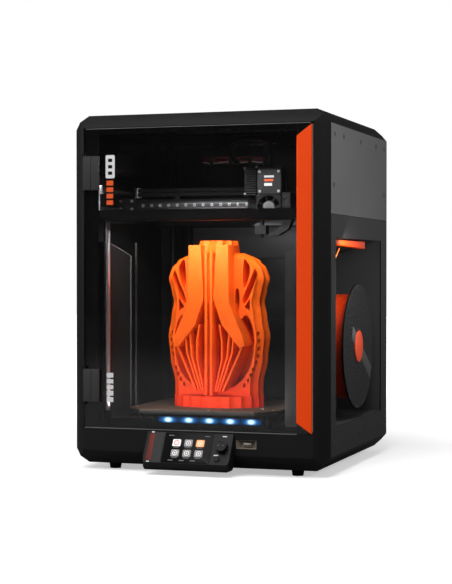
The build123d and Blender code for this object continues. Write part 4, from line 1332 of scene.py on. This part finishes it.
KNOB_CENTRE = (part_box("jog_knob")[0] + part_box("jog_knob")[1]) / 2
RESET_CENTRE = (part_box("reset_button")[0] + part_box("reset_button")[1]) / 2
PANEL_MID = (PANEL_LO + PANEL_HI) / 2
KNOB_U, KNOB_V = (KNOB_CENTRE - PANEL_MID).x, (KNOB_CENTRE - PANEL_MID).dot(FACE_UP)
RESET_U, RESET_V = (RESET_CENTRE - PANEL_MID).x, (RESET_CENTRE - PANEL_MID).dot(FACE_UP)
PANEL_TOP = 1.25 * MM
FACE_W = 1.25 * MM


def flat_slab(name, u, v, width, height, w0, w1, radius=0.0):
    """A thin plate on the tilted face, with rounded corners."""
    o = slab(name, (u - width / 2, v - height / 2, w0), (u + width / 2, v + height / 2, w1))
    if radius:
        round_edges(o, radius, 4, lambda a, b: abs(a.z - b.z) > abs(w1 - w0) / 2)
    return o


def screen_piece(o, slot, material, body="case", replaces=()):
    return place(lay_on_face(o), body, slot, material, replaces)


def build_screen():
    lo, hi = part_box("screen_shell")
    out = lo.y
    profile = [(CASE_LO.y, hi.z), (hi.y - 3 * MM, hi.z), (out, 20 * MM), (out, 13 * MM), (-218 * MM, lo.z),
        (-200 * MM, lo.z), (CASE_LO.y, 31.5 * MM)]
    settle()
    mesh = bpy.data.meshes.new("screen_case")
    mesh.from_pydata([(lo.x, y, z) for y, z in profile], [], [tuple(range(len(profile)))])
    shell = bpy.data.objects.new("screen_case", mesh)
    bpy.context.scene.collection.objects.link(shell)
    pick(shell)
    bpy.ops.object.mode_set(mode="EDIT")
    bpy.ops.mesh.select_all(action="SELECT")
    bpy.ops.mesh.extrude_region_move(TRANSFORM_OT_translate={"value": (hi.x - lo.x, 0, 0)})
    bpy.ops.mesh.select_all(action="SELECT")
    bpy.ops.mesh.normals_make_consistent(inside=False)
    settle()
    near, low = CASE_LO.y - 4 * MM, 25 * MM
    round_edges(shell, 4.5 * MM, 5, lambda a, b: abs(a.x - b.x) < MM and max(a.y, b.y) < near and max(a.z,
        b.z) < low)
    shell = carve(shell, lay_on_face(slab("pocket", (-39 * MM, -25 * MM, -1.4 * MM),
        (39 * MM, 25 * MM, 9 * MM))))
    shell = carve(shell, lay_on_face(rod("well", "Z", (KNOB_U, KNOB_V, 1 * MM), 4.3 * MM, 14 * MM, 32)))
    shell = carve(shell, lay_on_face(rod("well", "Z", (RESET_U, RESET_V, 1 * MM), 4.2 * MM, 6 * MM, 32)))
    place(soften(shell, 0.0008, 3, 25), "case", "black_plastic", M["black_plastic"], ["screen_shell"])

    top = PANEL_TOP
    screen_piece(soften(flat_slab("screen_glass", 0, 0, 77.6 * MM, 49.6 * MM, -1.2 * MM, top, 1.5 * MM),
        0.0003), "screen_glass", M["screen"], replaces=["display_panel"])
    margin = flat_slab("screen_side_bar", -48.5 * MM, 0, 15 * MM, 49 * MM, top - 0.3 * MM, top + 0.15 * MM,
        1 * MM)
    screen_piece(margin, "grey_plastic", M["grey_plastic"])
    strip = flat_slab("status_strip", -60 * MM, 0.5 * MM, 8.5 * MM, 44 * MM, top - 0.3 * MM, top + 0.35 * MM,
        1 * MM)
    screen_piece(soften(strip, 0.0002), "orange_plastic", M["strip_red"])
    ends = [flat_slab("end", -60 * MM, v * MM, 4.5 * MM, 1.8 * MM, top - 0.2 * MM, top + 0.3 * MM,
        0.6 * MM) for v in (25, -24)]
    screen_piece(join("strip_marks", ends), "light_white", M["white_ink"])

    w0, w1 = top, top + 0.12 * MM
    tiles = {"ui_white": [], "ui_grey": [], "ui_orange": [], "ui_dim": []}
    rings = {"ui_red": [], "ui_white": []}
    for row, v in enumerate((8.5, -8.5)):
        for column, u in enumerate((-18.5, 0.5, 19.5)):
            kind = {(0, 0): "ui_white", (0, 2): "ui_orange"}.get((row, column), "ui_grey")
            tiles[kind].append(flat_slab("tile", u * MM, v * MM, 13 * MM, 11.5 * MM, w0, w1, 1.6 * MM))
            loop = ring("loop", "Z", (u * MM, v * MM, w1), 3.6 * MM, 0.55 * MM, 28, 6)
            rings["ui_red" if kind == "ui_white" else "ui_white"].append(loop)
            if kind != "ui_white":
                rings["ui_white"].append(rod("pip", "Z", (u * MM, v * MM, w1), 1.2 * MM, 0.3 * MM, 16))
            else:
                rings["ui_red"].append(rod("pip", "Z", (u * MM, v * MM, w1), 1.2 * MM, 0.3 * MM, 3))
            tiles["ui_dim"].append(flat_slab("caption", u * MM, (v - 7.6) * MM, 9 * MM, 1.1 * MM, w0, w1,
                0.3 * MM))
    for u in (-30, -12, 6):
        tiles["ui_dim"].append(flat_slab("foot", (u + 6) * MM, -20.5 * MM, 8 * MM, 1.5 * MM, w0, w1, 0.3 * MM))
    tiles["ui_dim"].append(flat_slab("head", -29 * MM, 20.5 * MM, 9 * MM, 1.4 * MM, w0, w1, 0.3 * MM))
    tiles["ui_dim"].append(flat_slab("head", 29 * MM, 20.5 * MM, 8 * MM, 1.2 * MM, w0, w1, 0.3 * MM))
    for finish, pieces in tiles.items():
        screen_piece(join("icon_" + finish, pieces), "light_white", M[finish])
    for finish, pieces in rings.items():
        screen_piece(join("symbol_" + finish, pieces), "light_white", M[finish])

    marks = [flat_slab("mark", KNOB_U + u * MM, KNOB_V + v * MM, 7 * MM, 1.6 * MM, FACE_W - 0.05 * MM,
        FACE_W + 0.1 * MM, 0.4 * MM) for u, v in ((1, 19), (-8, -12.5))]
    screen_piece(join("control_marks", marks), "light_white", M["white_ink"])

    paint("knob_shaft", M["steel"])
    knob_lo = FACE_W + 2.4 * MM
    knob = rod("knob_body", "Z", (KNOB_U, KNOB_V, knob_lo + 4 * MM), 9.4 * MM, 7.9 * MM, 48)
    flutes = []
    for k in range(16):
        a = 2 * math.pi * k / 16
        flutes.append(rod("flute", "Z", (KNOB_U + 9.9 * MM * math.cos(a), KNOB_V + 9.9 * MM * math.sin(a),
            knob_lo + 2.5 * MM), 1.1 * MM, 7 * MM, 12))
    knob = carve(knob, join("flutes", flutes))
    dish = rod("dish", "Z", (KNOB_U, KNOB_V, knob_lo + 8.3 * MM), 6.4 * MM, 1.4 * MM, 40)
    knob = carve(knob, dish, rod("bore", "Z", (KNOB_U, KNOB_V, knob_lo), 3.1 * MM, 4.4 * MM, 24))
    screen_piece(soften(knob, 0.0005, 2), "black_plastic", M["black_plastic"], "knob", ["jog_knob"])
    spots = [rod("spot", "Z", (KNOB_U + u * MM, KNOB_V, knob_lo + 7.4 * MM), 1.0 * MM, 0.5 * MM,
        16) for u in (-4.2, 4.2)]
    screen_piece(join("knob_spots", spots), "grey_plastic", M["label_disc"], "knob")
    button = rod("button", "Z", (RESET_U, RESET_V, FACE_W + 0.2 * MM), 3.9 * MM, 3.2 * MM, 40)
    screen_piece(soften(button, 0.0006, 3), "black_plastic", M["black_plastic"], "reset", ["reset_button"])


# ---------------------------------------------------------------- stage

def build_stage(view):
    settle()
    bpy.ops.mesh.primitive_plane_add(size=16, location=(0, 0, 0))
    floor = named("floor")
    material, tree, shader = blank("pale floor", 0.9, 0.0,
        {"Emission Color": (1, 1, 1, 1), "Specular IOR Level": 0.0})
    seen = tree.nodes.new("ShaderNodeLightPath").outputs["Is Camera Ray"]
    mottle = noise(tree, tree.nodes.new("ShaderNodeTexCoord").outputs["Object"], 2.0)
    pale = mix_colour(tree, mottle, (0.86, 0.86, 0.86, 1), (0.89, 0.89, 0.89, 1))
    link(tree, mix_colour(tree, seen, (0.22, 0.22, 0.22, 1), pale), shader.inputs["Base Color"])
    spread = tree.nodes.new("ShaderNodeVectorMath")
    spread.operation = "LENGTH"
    link(tree, tree.nodes.new("ShaderNodeTexCoord").outputs["Object"], spread.inputs[0])
    far = tree.nodes.new("ShaderNodeMapRange")
    link(tree, spread.outputs["Value"], far.inputs["Value"])
    for label, value in (("From Min", 0.4), ("From Max", 1.6), ("To Min", 0.45), ("To Max", 1.1)):
        far.inputs[label].default_value = value
    link(tree, math_node(tree, "MULTIPLY", seen, far.outputs[0]), shader.inputs["Emission Strength"])
    floor.data.materials.append(material)

    world = bpy.data.worlds.new("studio")
    bpy.context.scene.world = world
    world.use_nodes = True
    tree = world.node_tree
    background = tree.nodes["Background"]
    background.inputs["Color"].default_value = (1, 1, 1, 1)
    path = tree.nodes.new("ShaderNodeLightPath")
    level = math_node(tree, "ADD", math_node(tree, "MULTIPLY", path.outputs["Is Camera Ray"], 1.0 - view.fill),
        view.fill)
    shine = math_node(tree, "SUBTRACT", 1.0, math_node(tree, "MULTIPLY", path.outputs["Is Glossy Ray"], 0.85))
    level = math_node(tree, "MULTIPLY", level, shine)
    link(tree, level, background.inputs["Strength"])

    def lamp(name, at, aim, size, power, colour=(1, 1, 1)):
        data = bpy.data.lights.new(name, "AREA")
        data.shape = "RECTANGLE"
        data.size, data.size_y = size
        data.energy = power
        data.color = colour
        o = bpy.data.objects.new(name, data)
        bpy.context.scene.collection.objects.link(o)
        o.location = at
        o.rotation_euler = (Vector(aim) - Vector(at)).to_track_quat("-Z", "Y").to_euler()
        return o
    lamp("top softbox", (-0.2, -0.9, 2.4), (0, 0, 0.3), (2.2, 1.4), 24)
    lamp("front softbox", (-0.5, -2.6, 2.3), (0, 0, 0.25), (1.8, 0.9), 46)
    lamp("left softbox", (-2.4, -0.8, 1.0), (0, 0, 0.3), (1.2, 1.8), 14)
    lamp("right rear strip", (1.8, 2.2, 0.7), (0.2, 0, 0.35), (0.7, 1.0), 12)
    lamp("right front strip", (2.6, -0.4, 1.5), (0.2, 0, 0.25), (0.8, 1.2), 12)
    inner = [
        lamp("chamber light", (-0.02, -0.150, 0.386), (-0.012, -0.06, 0.16), (0.28, 0.012), 0.40,
            (1.0, 0.95, 0.88)),
        lamp("sill light", (-0.02, -0.178, 0.100), (-0.012, -0.06, 0.19), (0.26, 0.01), 0.20, (1.0, 0.9, 0.82)),
        lamp("rear wall light", (0.05, 0.10, 0.384), (0.08, 0.21, 0.33), (0.14, 0.02), 0.10, (0.95, 0.97, 1.0)),
        lamp("head light", (0.0, -0.180, 0.50), (0.0, -0.20, 0.40), (0.26, 0.03), 1.7),
        lamp("bay light", (0.26, -0.10, 0.34), (0.17, 0.06, 0.18), (0.08, 0.08), 0.3)]
    for o in inner:
        o.visible_camera = False
        o.visible_transmission = False
    inner[-1].visible_glossy = False

    camera = bpy.data.cameras.new("camera")
    camera.lens = view.lens
    camera.sensor_width = 36
    camera.clip_end = 50
    o = bpy.data.objects.new("camera", camera)
    bpy.context.scene.collection.objects.link(o)
    o.location = view.place
    o.rotation_euler = (math.pi / 2 + view.pitch, 0, view.yaw)
    bpy.context.scene.camera = o
    bpy.context.scene.view_settings.view_transform = "Standard"


# ---------------------------------------------------------------- settings, operators and panel

class PrinterFinish(bpy.types.PropertyGroup):
    case_colour: bpy.props.FloatVectorProperty(name="Case", description="Powder coat of the case",
        subtype="COLOR", default=(0.012, 0.012, 0.0125))
    panel_colour: bpy.props.FloatVectorProperty(name="Side panel", description="Powder coat of the right side",
        subtype="COLOR", default=(0.045, 0.045, 0.047))
    accent_colour: bpy.props.FloatVectorProperty(name="Accent",
        description="Door strip, reel cap and guide arm", subtype="COLOR", default=(1.0, 0.07, 0.0))
    print_colour: bpy.props.FloatVectorProperty(name="Print", description="Filament of the print",
        subtype="COLOR", default=(1.0, 0.13, 0.005))
    light_strength: bpy.props.FloatProperty(name="Status light strength",
        description="Glow of the status lamps", default=2.6, min=0.0)


class PrinterVase(bpy.types.PropertyGroup):
    print_flutes: bpy.props.IntProperty(name="Flutes", description="Flutes round the sample vase", default=20,
        min=6, max=30)


class PrinterView(bpy.types.PropertyGroup):
    place: bpy.props.FloatVectorProperty(name="Camera", description="Where the camera stands", subtype="XYZ",
        unit="LENGTH", default=(0.8123, -2.4605, 0.3122))
    yaw: bpy.props.FloatProperty(name="Yaw", description="Turn to the left", subtype="ANGLE",
        default=math.radians(18.61))
    pitch: bpy.props.FloatProperty(name="Pitch", description="Tilt up", subtype="ANGLE",
        default=math.radians(-0.785))
    lens: bpy.props.FloatProperty(name="Lens", description="Focal length in millimetres", default=97.33, min=10)
    fill: bpy.props.FloatProperty(name="Fill", description="Strength of the light from all round", default=0.2,
        min=0.0)


def operator(idname, label, doc, build):
    def execute(self, context):
        build(context.scene)
        return {"FINISHED"}
    return type("PRINTER_OT_" + idname, (bpy.types.Operator,), {
        "bl_idname": "printer." + idname, "bl_label": label, "__doc__": doc, "execute": execute})


STEPS = [
    operator("stage", "Stage", "Floor, lights and camera", lambda scene: build_stage(scene.printer_view)),
    operator("materials", "Finishes", "Every finish and the effects they share",
        lambda scene: make_materials(scene.printer_finish)),
    operator("case", "Case", "Folded case with chamfered edges", lambda scene: build_case()),
    operator("fascia", "Fascia", "Front plate, sill and flash drive recess", lambda scene: build_fascia()),
    operator("lid", "Lid", "Loose roof lid with its window", lambda scene: build_lid()),
    operator("rear", "Rear", "Fan, inlet and switch at the back", lambda scene: build_rear()),
    operator("door", "Door", "Glass door, hinges, border and marks", lambda scene: build_door()),
    operator("chamber", "Chamber", "Lining, rods, screws and status lights", lambda scene: build_chamber()),
    operator("bed", "Bed", "Heated bed and its steel sheet", lambda scene: build_bed()),
    operator("vase", "Sample print", "Fluted vase on the bed", lambda scene: build_print(scene.printer_vase)),
    operator("gantry", "Gantry", "Beam, belts and idlers", lambda scene: build_gantry()),
    operator("head", "Print head", "Extruder, fans and hardware", lambda scene: build_head()),
    operator("looms", "Cables", "Cable bundle and feed tube", lambda scene: build_looms()),
    operator("spool", "Spool", "Reel, winding, guide arm and filament", lambda scene: build_spool()),
    operator("screen", "Screen", "Screen module with its knob and button", lambda scene: build_screen()),
]


class PRINTER_PT_steps(bpy.types.Panel):
    bl_label = "Printer"
    bl_space_type = "VIEW_3D"
    bl_region_type = "UI"
    bl_category = "Printer"

    def draw(self, context):
        scene = context.scene
        for settings in (scene.printer_finish, scene.printer_vase, scene.printer_view):
            for key in settings.__annotations__:
                self.layout.prop(settings, key)
        for step in STEPS:
            self.layout.operator(step.bl_idname)


CLASSES = [PrinterFinish, PrinterVase, PrinterView, *STEPS, PRINTER_PT_steps]


def register():
    for item in CLASSES:
        bpy.utils.register_class(item)
    bpy.types.Scene.printer_finish = bpy.props.PointerProperty(type=PrinterFinish)
    bpy.types.Scene.printer_vase = bpy.props.PointerProperty(type=PrinterVase)
    bpy.types.Scene.printer_view = bpy.props.PointerProperty(type=PrinterView)


def unregister():
    del bpy.types.Scene.printer_finish
    del bpy.types.Scene.printer_vase
    del bpy.types.Scene.printer_view
    for item in reversed(CLASSES):
        bpy.utils.unregister_class(item)


def main():
    register()
    for step in STEPS:
        name = step.bl_idname.split(".")[1]
        if getattr(bpy.ops.printer, name)() != {"FINISHED"}:
            raise RuntimeError(name + " did not finish")
    settle()


if __name__ == "__main__":
    main()
